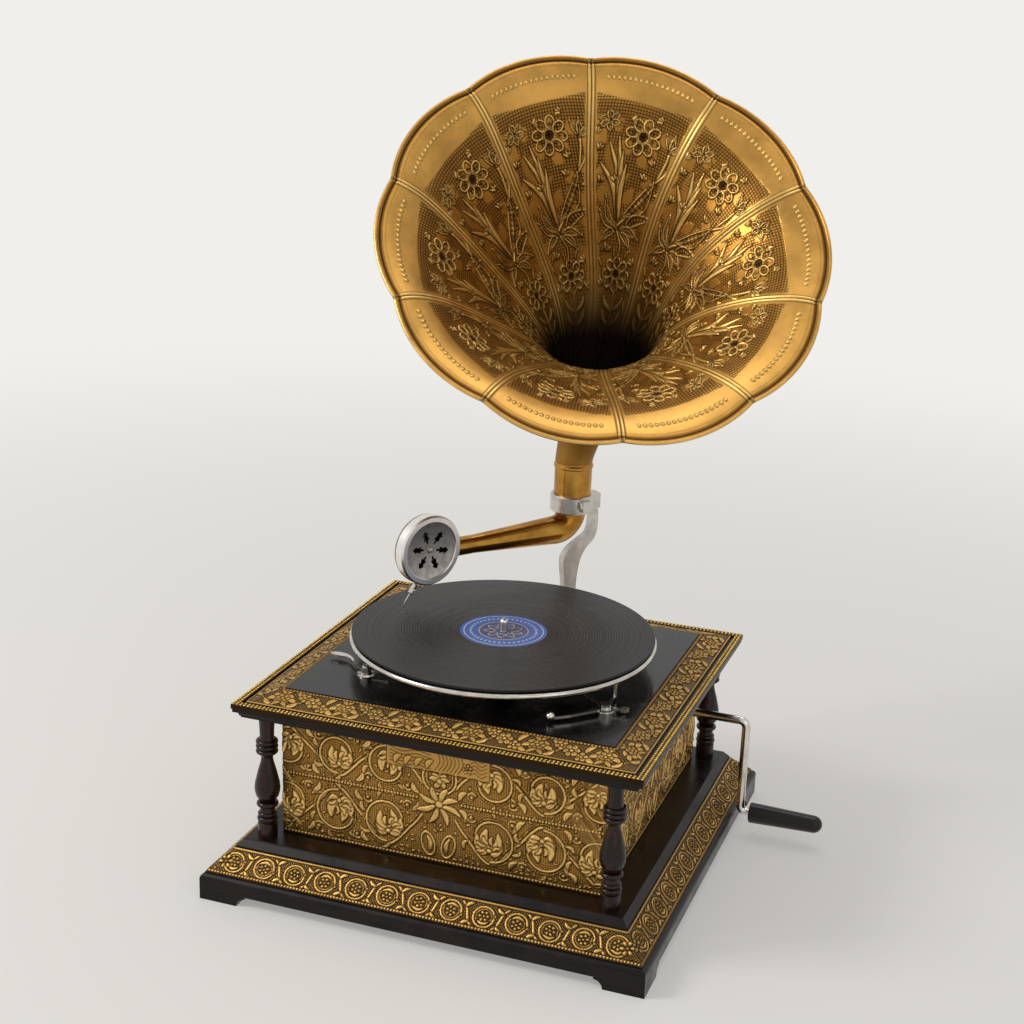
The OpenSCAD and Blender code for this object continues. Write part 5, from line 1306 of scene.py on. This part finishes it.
@dataclass
class Cabinet:
    """The pressed brass on the cabinet's four sides, on the sloping base and on the top."""

    half_w: float = 136.0
    half_d: float = 137.0
    side_half: float = 136.2
    low_z: float = 47.0
    high_z: float = 150.0
    sheet_t: float = 0.8
    step: float = 0.75
    strip_step: float = 0.65
    band_half: float = 182.0
    band_run: float = 17.5
    band_low_z: float = 23.3
    band_rise: float = 16.7
    top_half_w: float = 168.5
    top_half_d: float = 159.5
    rim_w: float = 5.5
    rim_z: float = 162.0
    border_in: float = 8.0
    border_out: float = 31.3
    border_top: float = 168.7

    def scroll(self, r: Relief, at: Point, radius: float, side: int, up: int) -> None:
        """Chases one large scroll with a spray of broad leaves inside it.

        Args:
            r: The sheet.
            at: Middle of the scroll.
            radius: Its radius.
            side: 1 on the right of the panel and -1 on its left.
            up: 1 where its stem comes in from below and -1 from above.
        """
        turn = side * up
        points = []
        for i in range(27):
            t = i / 26
            a = math.radians(-90 * up) + turn * t * TAU * 0.98
            far = radius * (1 - 0.5 * t**1.6)
            points.append(polar(at, far, a))
        r.vine(points, 1.9, -2.7 * turn)
        hub = points[-1]
        for a, share, wide, bend in ((34, 0.66, 6.0, -0.3), (66, 0.92, 7.0, -0.22), (98, 0.98, 7.4, 0.2),
                                     (131, 0.86, 6.6, 0.3), (166, 0.6, 5.4, 0.3), (2, 0.5, 4.6, -0.3)):
            b = math.radians(a if side > 0 else 180 - a)
            way = (math.cos(b), up * math.sin(b))
            tip = (hub[0] + share * radius * way[0], hub[1] + share * radius * way[1])
            r.leaf(hub, tip, wide, bend * side * up, 1.3)
            back = (hub[0] + 0.3 * share * radius * way[0], hub[1] + 0.3 * share * radius * way[1])
            turned = math.radians((a if side > 0 else 180 - a) + 24 * side)
            r.leaf(back, (back[0] + 0.42 * radius * math.cos(turned),
                          back[1] + 0.42 * radius * up * math.sin(turned)), 3.0, 0.2, 1.0, False)
        r.bead(hub, 2.0, 1.3)
        for k in range(5):
            a = math.radians(-55 * up) + turn * (0.5 + 0.95 * k)
            tip = polar(at, radius + 6.5, a + turn * 0.3)
            r.leaf(polar(at, radius + 1, a), tip, 3.6, -0.25 * turn)

    def curl(self, r: Relief, at: Point, turn: int) -> None:
        """Chases a small curled tendril that ends in a bud.

        Args:
            r: The sheet.
            at: Middle of the curl.
            turn: 1 for anticlockwise and -1 for clockwise.
        """
        shares = [k / 24 for k in range(25)]
        winds = [polar(at, 4.2 * (1 - 0.7 * t), turn * (0.6 + 1.1 * TAU * t)) for t in shares]
        r.ridge(winds, 1.6, 0.95, Taper.TAIL)
        r.bead(at, 1.4, 1.1)

    def panel_relief(self, half: float) -> Relief:
        """Chases one panel: two tiers of scrolls about a medallion, between rows of beads.

        Args:
            half: Half of the panel's width.

        Returns:
            The chased sheet, with y upwards from the panel's lower edge.
        """
        high = self.high_z - self.low_z
        r = Relief((-half, 0.0), (half, high), self.step)
        divide = 54.0
        pitch, first = 43.0, 44.0
        for tier, (low, top) in enumerate(((5.5, divide - 2.5), (divide + 2.5, high - 5.0))):
            mid, reach = (low + top) / 2, (top - low) / 2
            for side in (-1, 1):
                up = 1 if tier == 0 else -1
                wave = [(side * 14.0, mid + up * 0.5 * reach)]
                for k in range(6):
                    x = first + (k - 1) * pitch / 2
                    sway = math.cos((x - first) / pitch * math.pi)
                    wave.append((side * x, mid - up * (reach - 2.4) * sway))
                r.vine([q for q in wave if abs(q[0]) < half + 14], 2.2, 2.9 * side)
                for k in range(3):
                    x = first + k * pitch
                    way = up if k % 2 == 0 else -up
                    self.scroll(r, (side * x, mid + way * 0.6), reach - 4.2, side, way)
                    for s in (-1, 1):
                        at = (side * (x + s * 0.5 * pitch), mid + way * (reach - 6.0))
                        self.curl(r, (at[0] - s * side * 4.5, at[1]), s * side * way)
                        r.leaf((at[0], at[1] - 3 * way), (at[0] + s * side * 5.5, at[1] + 4.5 * way),
                               4.6, 0.2 * s, 1.1)
        for y in (divide - 1.7, divide + 1.7):
            r.dark[np.abs(r.y - y) < 0.5] = 0.8
            r.height[np.abs(r.y - y) < 0.5] = 0.1
        self.medallion(r, divide)
        r.fill_gaps((-half + 4, 6.0), (half - 4, high - 5), 4.6)
        for s in (-1, 1):
            r.beads((s * 19, divide), (s * (half - 2), divide), 2.7, 1.15, 1.0)
        for y in (2.4, high - 2.4):
            r.beads((-half + 2.5, y), (half - 2.5, y), 3.0, 1.3, 1.0)
        r.hatch = np.clip(1 - r.height / 0.2, 0, 1)
        return r

    def medallion(self, r: Relief, divide: float) -> None:
        """Chases the ring, the star and the drops at a panel's middle.

        Args:
            r: The panel's sheet.
            divide: Height of the row of beads between its tiers.
        """
        top = divide + 20.0
        gx, gy = np.meshgrid(r.x, r.y)
        for at, far in (((0.0, top), 15.5), ((0.0, divide - 3), 17.5)):
            inside = np.hypot(gx - at[0], gy - at[1]) < far
            r.height[inside], r.dark[inside] = 0.0, 0.0
        for far, wide in ((14.0, 2.0), (11.2, 1.0)):
            r.ridge(oval((0.0, top), (far, far), 24), wide, 1.1)
        for a in (90, 45, 135, 10, 170, -60, -120):
            b = math.radians(a)
            tip = (8.5 * math.cos(b), top - 3 + 10 * math.sin(b) * (0.8 if a > 0 else 0.6))
            r.leaf((0.0, top - 3), tip, 4.8, 0.12 if a < 90 else -0.12, 1.2)
        r.bead((0.0, top - 3), 2.2, 1.3)
        for k in range(8):
            a = TAU * k / 8 + TAU / 16
            far = 17.0 if math.sin(a) > 0 else 20.0
            r.leaf((3 * math.cos(a), divide - 3 + 3 * math.sin(a)),
                   (far * math.cos(a), divide - 3 + 0.9 * far * math.sin(a)), 5.0, 0.1, 1.3)
        r.bead((0.0, divide - 3), 3.2, 1.5)
        for s in (-1, 1):
            r.loop((s * 8.5, 16.0), (10.0, 5.4), math.radians(90 - 14 * s), 1.8, 1.1)
            r.leaf((s * 7.0, 10.0), (s * 9.5, 23.0), 4.0, 0.12 * s, 1.1)

    def strap(self, r: Relief) -> None:
        """Chases the plainer engraved patch at the front panel's upper middle.

        Args:
            r: The panel's sheet.
        """
        high = self.high_z - self.low_z
        low, left, right = high - 25.0, -46.0, 42.0
        gx, gy = np.meshgrid(r.x, r.y)
        patch = (ramp01(gx - left, 0, 1) * ramp01(right - gx, 0, 1) * ramp01(gy - low, 0, 1)
                 * ramp01(high - 4.5 - gy, 0, 1))
        r.height = r.height * (1 - patch) + 0.42 * patch
        r.dark = r.dark * (1 - patch) + 0.16 * patch
        r.hatch *= 1 - patch
        for k in range(6):
            y = high - 23 + 3.0 * k
            wave = ((4, 2), (14, -0.8), (26, 1.8), (38, 0))
            r.scratch([(left + dx, y + dy) for dx, dy in wave], 1.0, 0.5)
        for k in range(4):
            r.leaf((left + 8 + 9 * k, low + 3.0), (left + 13 + 9 * k, low + 9.5), 4.4, 0.2, 0.75)
        for k in range(7):
            x = 3.2 * k
            r.scratch([(x - 4, low + 2), (x, low + 10), (x - 2.5, high - 6)], 0.9, 0.45)
        for k in range(5):
            y = low + 3 + 3.2 * k
            r.scratch([(25, y), (29, y + 2.4), (34, y - 0.6), (39, y + 2)], 0.9, 0.45)
        r.flower((22.5, low + 8.0), 4.2, 6, 0.2, 0.8)
        for x in (left + 0.6, right - 0.6):
            r.scratch([(x, low), (x, high - 4)], 0.9, 0.4)
        r.scratch([(left, low), (right, low)], 0.9, 0.4)

    def panel(
        self, name: str, relief: Relief, half: float, foot: Vector, across: Vector
    ) -> bpy.types.Object:
        """Lays a chased sheet on one side of the cabinet.

        Args:
            name: The panel's name.
            relief: The chased sheet.
            half: Half of the panel's width.
            foot: Middle of the panel's lower edge on the wall.
            across: Direction to the right seen from outside.

        Returns:
            The panel.
        """
        gx, gy = np.meshgrid(relief.x.clip(-half, half), relief.y.clip(0, self.high_z - self.low_z))
        out = across.cross(Vector((0, 0, 1)))
        height = 0.3 + np.clip(relief.height, -0.3, 1.5) * 0.95
        points = (np.array(foot) + gx[..., None] * np.array(across) + gy[..., None] * np.array([0, 0, 1.0])
                  + height[..., None] * np.array(out))
        tone = np.clip(0.26 + 0.64 * relief.height, 0, 1)
        chart = np.stack([gx, gy, relief.hatch], -1)
        return sheet_object(name, points, tone, np.clip(relief.dark, 0, 1), -0.3 * out, chart=chart)

    def panels(self, shop: Workshop) -> None:
        """Makes and places the four panels."""
        wide = self.panel_relief(self.half_w)
        back = self.panel_relief(self.half_w)
        self.strap(wide)
        sides = self.panel_relief(self.side_half)
        wall = self.sheet_t
        plan = (
            ("panel_front", wide, self.half_w, Vector((0, -self.half_d + wall, self.low_z)),
             Vector((1, 0, 0)), "front_brass"),
            ("panel_back", back, self.half_w, Vector((0, self.half_d - wall, self.low_z)),
             Vector((-1, 0, 0)), "back_brass"),
            ("panel_right", sides, self.side_half, Vector((self.half_w - wall, 0, self.low_z)),
             Vector((0, 1, 0)), "side_brass"),
            ("panel_left", sides, self.side_half, Vector((-self.half_w + wall, 0, self.low_z)),
             Vector((0, -1, 0)), "side_brass"),
        )
        for name, relief, half, foot, across, node in plan:
            shop.place(self.panel(name, relief, half, foot, across), "pressed_brass_panel", "cabinet",
                       "sheet_brass", node)

    def band_relief(self) -> Relief:
        """Chases the sloping band: rings with flowers between the waves of a vine."""
        wide = math.hypot(self.band_run, self.band_rise)
        r = Relief((-self.band_half, 0.0), (self.band_half, wide), self.strip_step)
        count = 13
        pitch = 2 * self.band_half / (count + 0.6)
        mid = wide / 2 - 0.6
        for k in range(count):
            x = (k - (count - 1) / 2) * pitch
            side = 1 if k % 2 == 0 else -1
            for half, thick, high in (((8.4, 8.0), 1.6, 0.95), ((6.3, 6.0), 0.9, 0.7)):
                r.ridge(oval((x, mid), half, 20), thick, high)
            r.leaf((x - 4.4, mid - side * 3.6), (x + 5.0, mid - side * 3.4), 2.6, -0.18 * side, 0.9, False)
            r.flower((x, mid + 0.7 * side), 4.4, 6, 0.4 * k, 1.0, 0.34)
            if k < count - 1:
                half = pitch / 2
                r.ridge([(x + half - 5.4, mid - 9 * side), (x + half - 1.6, mid - 4.6 * side),
                         (x + half + 1.6, mid + 4.6 * side), (x + half + 5.4, mid + 9 * side)], 1.9, 0.95)
                for s in (-1, 1):
                    r.leaf((x + half + s * 2.2, mid + s * 5.5 * side),
                           (x + half - s * 3.6, mid + s * 9.2 * side), 3.0, 0.15 * s * side, 0.9, False)
                    r.bead((x + half + s * 4.2, mid - s * 2.0 * side), 1.0, 0.8)
        for s in (-1, 1):
            r.flower((s * (self.band_half - 14), mid), 6.0, 6, 0.2, 0.95)
        r.fill_gaps((-self.band_half + 6, 3.0), (self.band_half - 6, wide - 4), 4.2)
        r.beads((-self.band_half, 1.5), (self.band_half, 1.5), 2.7, 1.15, 0.85)
        r.ridge([(-self.band_half, wide - 1.1), (self.band_half, wide - 1.1)], 1.2, 0.8)
        r.hatch = 0.8 * np.clip(1 - r.height / 0.25, 0, 1)
        return r

    def border_relief(self, half: float) -> Relief:
        """Chases the top's border: flower clusters and sprays of leaves.

        Args:
            half: Half of the border's outer length.

        Returns:
            The chased sheet, with y inwards from the border's outer edge.
        """
        wide = math.hypot(self.border_out - self.border_in, self.border_top - self.rim_z)
        r = Relief((-half, 0.0), (half, wide), self.strip_step)
        count = int(round(2 * half / 56))
        pitch = 2 * half / count
        mid = wide / 2
        for k in range(count + 1):
            x = -half + k * pitch
            for s in (-1, 1):
                r.ridge([(x + s * 6, mid + 2), (x + s * 15, mid - 5), (x + s * 24, mid + 3)], 1.5, 0.8)
                for j, (dx, dy, lx, ly) in enumerate([
                    (11, 1, 17, 9), (13, -3, 20, -9), (18, -2, 25, 5), (21, -1, 28, -6), (15, -3, 22, -1),
                ]):
                    r.leaf((x + s * dx, mid + dy), (x + s * lx, mid + ly), 4.8, 0.16 * s * (-1) ** j, 1.1)
            if 0 < k < count:
                for s in (-1, 1):
                    self.round_flower(r, (x + s * 9.0, mid - s * 4.6), 5.4, 5, 0.3 * s)
                self.round_flower(r, (x, mid + 0.5), 6.6, 6, 0.2)
        for k in range(count):
            x = -half + (k + 0.5) * pitch
            self.round_flower(r, (x, mid), 5.8, 6, 0.1)
            for s in (-1, 1):
                r.leaf((x, mid + s * 5), (x + 6, mid + s * 10), 3.8, 0.15, 0.9)
                r.leaf((x, mid + s * 5), (x - 6, mid + s * 10), 3.8, -0.15, 0.9)
        r.beads((-half, wide - 1.6), (half, wide - 1.6), 2.9, 1.2, 0.8)
        r.ridge([(-half, 1.0), (half, 1.0)], 1.2, 0.8)
        r.hatch = np.clip(1 - r.height / 0.2, 0, 1)
        return r

    def round_flower(
        self, r: Relief, at: Point, radius: float, petals: int, turn: float
    ) -> None:
        """Chases a flower of round petals, each with a dimple in it.

        Args:
            r: The sheet.
            at: The flower's middle.
            radius: Its outer radius.
            petals: Number of its petals.
            turn: Angle of its first petal.
        """
        for k in range(petals):
            a = turn + TAU * k / petals
            middle = polar(at, 0.66 * radius, a)
            r.bead(middle, 0.36 * radius, 1.1)
            r.pit(middle, 0.15 * radius, 0.5)
        r.bead(at, 0.24 * radius, 1.2)

    def sloped(
        self, name: str, relief: Relief, turn: int, outer: float, reach: float, run: float,
        low_z: float, rise: float,
    ) -> bpy.types.Object:
        """Lays a chased sheet on one side of a mitred slope.

        Args:
            name: The strip's name.
            relief: The chased sheet.
            turn: Quarter turns from the front.
            outer: Half length of the strip's outer edge.
            reach: Distance of its outer edge from the middle.
            run: Its horizontal run inwards.
            low_z: Height of its outer edge.
            rise: Its rise to the inner edge.

        Returns:
            The strip.
        """
        wide = math.hypot(run, rise)
        across = np.clip(relief.y, 0, wide)
        cols = relief.x.clip(-outer, outer) / outer
        tt, qq = np.meshgrid(across / wide, cols, indexing="ij")
        half = outer - run * tt
        height, dark, hatch = relief.sample(qq * half, tt * wide)
        lift = 0.25 + 0.75 * height
        nx, nz = -rise / wide, run / wide
        x = qq * half
        y = -(reach - run * tt) + lift * nx
        z = low_z + rise * tt + lift * nz
        quarter = Matrix.Rotation(turn * math.pi / 2, 3, "Z")
        points = np.stack([x, y, z], -1) @ np.array(quarter).T
        back = quarter @ Vector((0, -0.5 * nx, -0.5 * nz))
        chart = np.stack([qq * half, tt * wide, hatch], -1)
        return sheet_object(name, points, np.clip(0.95 * height, 0, 1), np.clip(dark, 0, 1), back,
                            chart=chart)

    def edging(self) -> bpy.types.Object:
        """Makes the beaded rim of the top with its outer lip."""
        bm = bmesh.new()
        top, end = self.rim_z + 0.6, self.rim_w + self.sheet_t
        rows = ((0.0, self.rim_z - 3.5), (0.0, self.rim_z + 0.2), (0.4, top), (end - 0.3, top),
                (end, self.rim_z + 0.1))
        wide, deep = self.top_half_w + self.sheet_t, self.top_half_d + self.sheet_t
        for angle, half, far in ((0.0, wide, deep), (math.pi, wide, deep), (math.pi / 2, deep, wide),
                                 (-math.pi / 2, deep, wide)):
            made = bmesh.ops.create_grid(bm, x_segments=1, y_segments=4, size=1)["verts"]
            made.sort(key=lambda v: (round(v.co.y, 4), v.co.x))
            for i, vert in enumerate(made):
                inset, z = rows[i // 2]
                plain = Vector(((half - inset) * (1 if i % 2 else -1), -(far - inset), z))
                vert.co = Matrix.Rotation(angle, 3, "Z") @ plain * MM
        bmesh.ops.remove_doubles(bm, verts=bm.verts, dist=MERGE_M)
        bmesh.ops.recalc_face_normals(bm, faces=bm.faces)
        bmesh.ops.solidify(bm, geom=bm.faces[:], thickness=0.5 * MM)
        return write_object(bm, "top_rim_strip", False)

    def beads(self) -> bpy.types.Object:
        """Makes the two rows of beads on the top's rim."""
        bm = bmesh.new()
        pitch = 3.3
        for inset, radius in ((1.6, 1.45), (4.7, 1.25)):
            half_w, half_d = (v + self.sheet_t - inset for v in (self.top_half_w, self.top_half_d))
            for half, far, turned in ((half_w, half_d, False), (half_d, half_w, True)):
                count = int(round(2 * half / pitch))
                for sign in (-1, 1):
                    for i in range(count):
                        t = -half + 2 * half * i / count
                        x, y = (sign * far, -sign * t) if turned else (sign * t, sign * far)
                        place = Matrix.Translation(Vector((x, y, self.rim_z + 0.6)) * MM)
                        place = place @ Matrix.Diagonal((1, 1, 0.62, 1))
                        bmesh.ops.create_icosphere(bm, subdivisions=1, radius=radius * MM, matrix=place)
        return write_object(bm, "top_rim_beads")

    def build(self, shop: Workshop) -> None:
        """Makes and places the cabinet's brass."""
        self.panels(shop)
        band = self.band_relief()
        for turn, name in enumerate(SIDES):
            strip = self.sloped(f"base_band_{name}", band, turn, self.band_half, self.band_half,
                                self.band_run, self.band_low_z, self.band_rise)
            shop.place(strip, "pressed_brass_band", "cabinet", "sheet_brass", "base_brass_strips")
        run = self.border_out - self.border_in
        rise = self.border_top - self.rim_z
        for turn, name in enumerate(SIDES):
            half, reach = self.top_half_w, self.top_half_d
            if turn % 2:
                half, reach = reach, half
            relief = self.border_relief(half - self.border_in)
            strip = self.sloped(f"top_border_{name}", relief, turn, half - self.border_in,
                                reach - self.border_in, run, self.rim_z, rise)
            shop.place(strip, "pressed_brass_band", "cabinet", "sheet_brass", "top_brass_border")
        for piece, finish in ((self.edging(), "pressed_brass_band"), (self.beads(), "struck_brass_beads")):
            shop.place(piece, finish, "cabinet", "sheet_brass", "top_brass_border")


CARRIED = {
    "lacquered_hardwood": (
        "bracket_feet", "base_slab", "base_slope_rails", "step_moulding", "front_wall", "back_wall",
        "side_walls", "top_frame",
    ),
    "lacquered_turning": ("corner_columns",),
    "gloss_black_board": ("motor_board",),
    "black_grip": ("crank_grip",),
    "nickel_plate": (
        "crank_escutcheon", "crank_rod", "platter", "turntable_spindle", "brake_post", "speed_post",
        "brake_lever", "speed_lever", "soundbox_back", "stylus_bar", "needle_screw",
        "motor_bolts", "needle", "collar_screw",
    ),
    "satin_grille": ("soundbox_grille",),
    "satin_nickel_ring": ("soundbox_ring",),
    "cast_white_metal": ("support_arm", "horn_collar"),
    "bright_steel": (
        "winding_shaft", "winding_arbor", "motor_top_plate", "motor_bottom_plate", "motor_pillars",
        "governor_shaft", "governor_bearings", "support_screws",
    ),
    "blued_steel": ("mainspring",),
    "cut_brass": ("winding_wheel", "spring_barrel", "barrel_cover", "governor_wheel",
                  "governor_weights"),
    "burnished_brass": ("tone_arm", "gooseneck", "horn_neck"),
    "wool_felt": ("platter_mat",),
    "black_rubber": ("motor_bushings", "soundbox_gasket"),
    "split_mica": ("diaphragm",),
    "pressed_shellac": ("record",),
    "printed_paper": ("record_label",),
}


def dress_solids(shop: Workshop) -> None:
    """Gives each solid that still shows its material."""
    for finish, names in CARRIED.items():
        for name in names:
            shop.finishes.dress(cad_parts[name], finish)
    log.info("%d solids dressed", sum(len(names) for names in CARRIED.values()))


@dataclass
class Studio:
    """The camera, the floor and the light."""

    eye: tuple[float, float, float] = (0.46057, -1.28941, 0.72690)
    azimuth: float = math.radians(19.503)
    elevation: float = math.radians(17.35)
    roll: float = math.radians(1.914)
    focal_px: float = 1756.5
    photo_px: float = 1024.0
    sensor_mm: float = 36.0
    paper: str = "#f1efec"

    def camera(self) -> None:
        """Sets the camera where the photograph was taken from."""
        sa, ca = math.sin(self.azimuth), math.cos(self.azimuth)
        se, ce = math.sin(self.elevation), math.cos(self.elevation)
        back = Vector((sa * ce, -ca * ce, se))
        right = (-back).cross(Vector((0, 0, 1))).normalized()
        up = right.cross(-back)
        turn = Matrix((right, up, back)).transposed() @ Matrix.Rotation(self.roll, 3, "Z")
        data = bpy.data.cameras.new("camera")
        data.sensor_width = self.sensor_mm
        data.lens = self.focal_px / self.photo_px * self.sensor_mm
        data.clip_end = 50
        cam = bpy.data.objects.new("camera", data)
        cam.matrix_world = Matrix.Translation(Vector(self.eye)) @ turn.to_4x4()
        bpy.context.scene.collection.objects.link(cam)
        bpy.context.scene.camera = cam

    def floor(self) -> None:
        """Lays a plain pale floor that melts into the surround far from the object."""
        bm = bmesh.new()
        bmesh.ops.create_grid(bm, x_segments=1, y_segments=1, size=14)
        floor = write_object(bm, "floor", False)
        mat, shader = start_material(
            "pale_floor", Roughness=0.9, Specular_IOR_Level=0.1, Base_Color=linear("#cfccc7")
        )
        tree = mat.node_tree
        co = add_node(tree, "TexCoord").outputs["Object"]
        far = add_node(tree, "VectorMath", {"operation": "LENGTH"}, {0: co}).outputs["Value"]
        fade = add_node(tree, "MapRange", {"interpolation_type": "SMOOTHSTEP"}, {
            "Value": far, "From Min": 0.35, "From Max": 2.2, "To Min": 0.35, "To Max": 1.0,
        }).outputs["Result"]
        path = add_node(tree, "LightPath").outputs
        direct = add_node(tree, "Math", {"operation": "MAXIMUM"}, {
            0: path["Is Camera Ray"], 1: path["Is Transmission Ray"],
        }).outputs["Value"]
        faded = add_node(tree, "Math", {"operation": "MULTIPLY"}, {0: direct, 1: fade})
        mirrored = add_node(tree, "Math", {"operation": "MULTIPLY"}, {0: path["Is Glossy Ray"], 1: 0.62})
        amount = add_node(tree, "Math", {"operation": "MAXIMUM"}, {
            0: faded.outputs["Value"], 1: mirrored.outputs["Value"],
        })
        glow = add_node(tree, "Emission", None, {"Color": linear(self.paper), "Strength": 1.0})
        mixed = add_node(tree, "MixShader", None, {
            0: amount.outputs["Value"], 1: shader.outputs[0], 2: glow.outputs[0],
        })
        tree.links.new(mixed.outputs[0], tree.nodes["Material Output"].inputs["Surface"])
        floor.data.materials.append(mat)

    def world(self) -> None:
        """Fills the room with even light and a white surround."""
        world = bpy.data.worlds.new("studio")
        bpy.context.scene.world = world
        world.use_nodes = True
        tree = world.node_tree
        tree.nodes.clear()
        path = add_node(tree, "LightPath").outputs
        seen = add_node(tree, "Math", {"operation": "MAXIMUM"}, {
            0: path["Is Camera Ray"], 1: path["Is Transmission Ray"],
        }).outputs["Value"]
        light = add_node(tree, "Background", None, {"Color": (1, 0.985, 0.96, 1), "Strength": 0.5})
        gloss = add_node(tree, "Background", None, {"Color": (0.97, 0.96, 0.95, 1), "Strength": 0.75})
        shown = add_node(tree, "Background", None, {"Color": linear(self.paper), "Strength": 1.0})
        first = add_node(tree, "MixShader", None, {
            0: path["Is Glossy Ray"], 1: light.outputs[0], 2: gloss.outputs[0],
        }).outputs[0]
        last = add_node(tree, "MixShader", None, {0: seen, 1: first, 2: shown.outputs[0]}).outputs[0]
        end = tree.nodes.new("ShaderNodeOutputWorld")
        tree.links.new(last, end.inputs["Surface"])

    def lamp(self, name: str, at: tuple[float, float, float], size: float, watts: float) -> None:
        """Hangs one soft square lamp that looks at the object.

        Args:
            name: The lamp's name.
            at: Its place in metres.
            size: Length of its sides.
            watts: Its power.
        """
        data = bpy.data.lights.new(name, "AREA")
        data.size, data.energy = size, watts
        lamp = bpy.data.objects.new(name, data)
        aim = Vector((0, 0, 0.25)) - Vector(at)
        turn = aim.to_track_quat("-Z", "Y").to_matrix().to_4x4()
        lamp.matrix_world = Matrix.Translation(Vector(at)) @ turn
        bpy.context.scene.collection.objects.link(lamp)

    def build(self) -> None:
        """Sets up the whole studio."""
        self.camera()
        self.floor()
        self.world()
        self.lamp("key", (-1.9, -1.2, 1.9), 0.9, 44.0)
        self.lamp("fill", (2.0, -1.8, 1.3), 1.6, 6.0)
        self.lamp("top", (0.1, 0.6, 2.3), 1.2, 11.0)
        bpy.context.scene.view_settings.view_transform = "Standard"


def main() -> None:
    """Builds the studio, the new pieces and the materials, in order."""
    logging.basicConfig(level=logging.INFO, format="%(name)s: %(message)s")
    Studio().build()
    shop = Workshop(Finishes())
    dress_solids(shop)
    Horn().build(shop)
    Cabinet().build(shop)
    log.info("%d new pieces", shop.pieces)


if __name__ == "__main__":
    main()
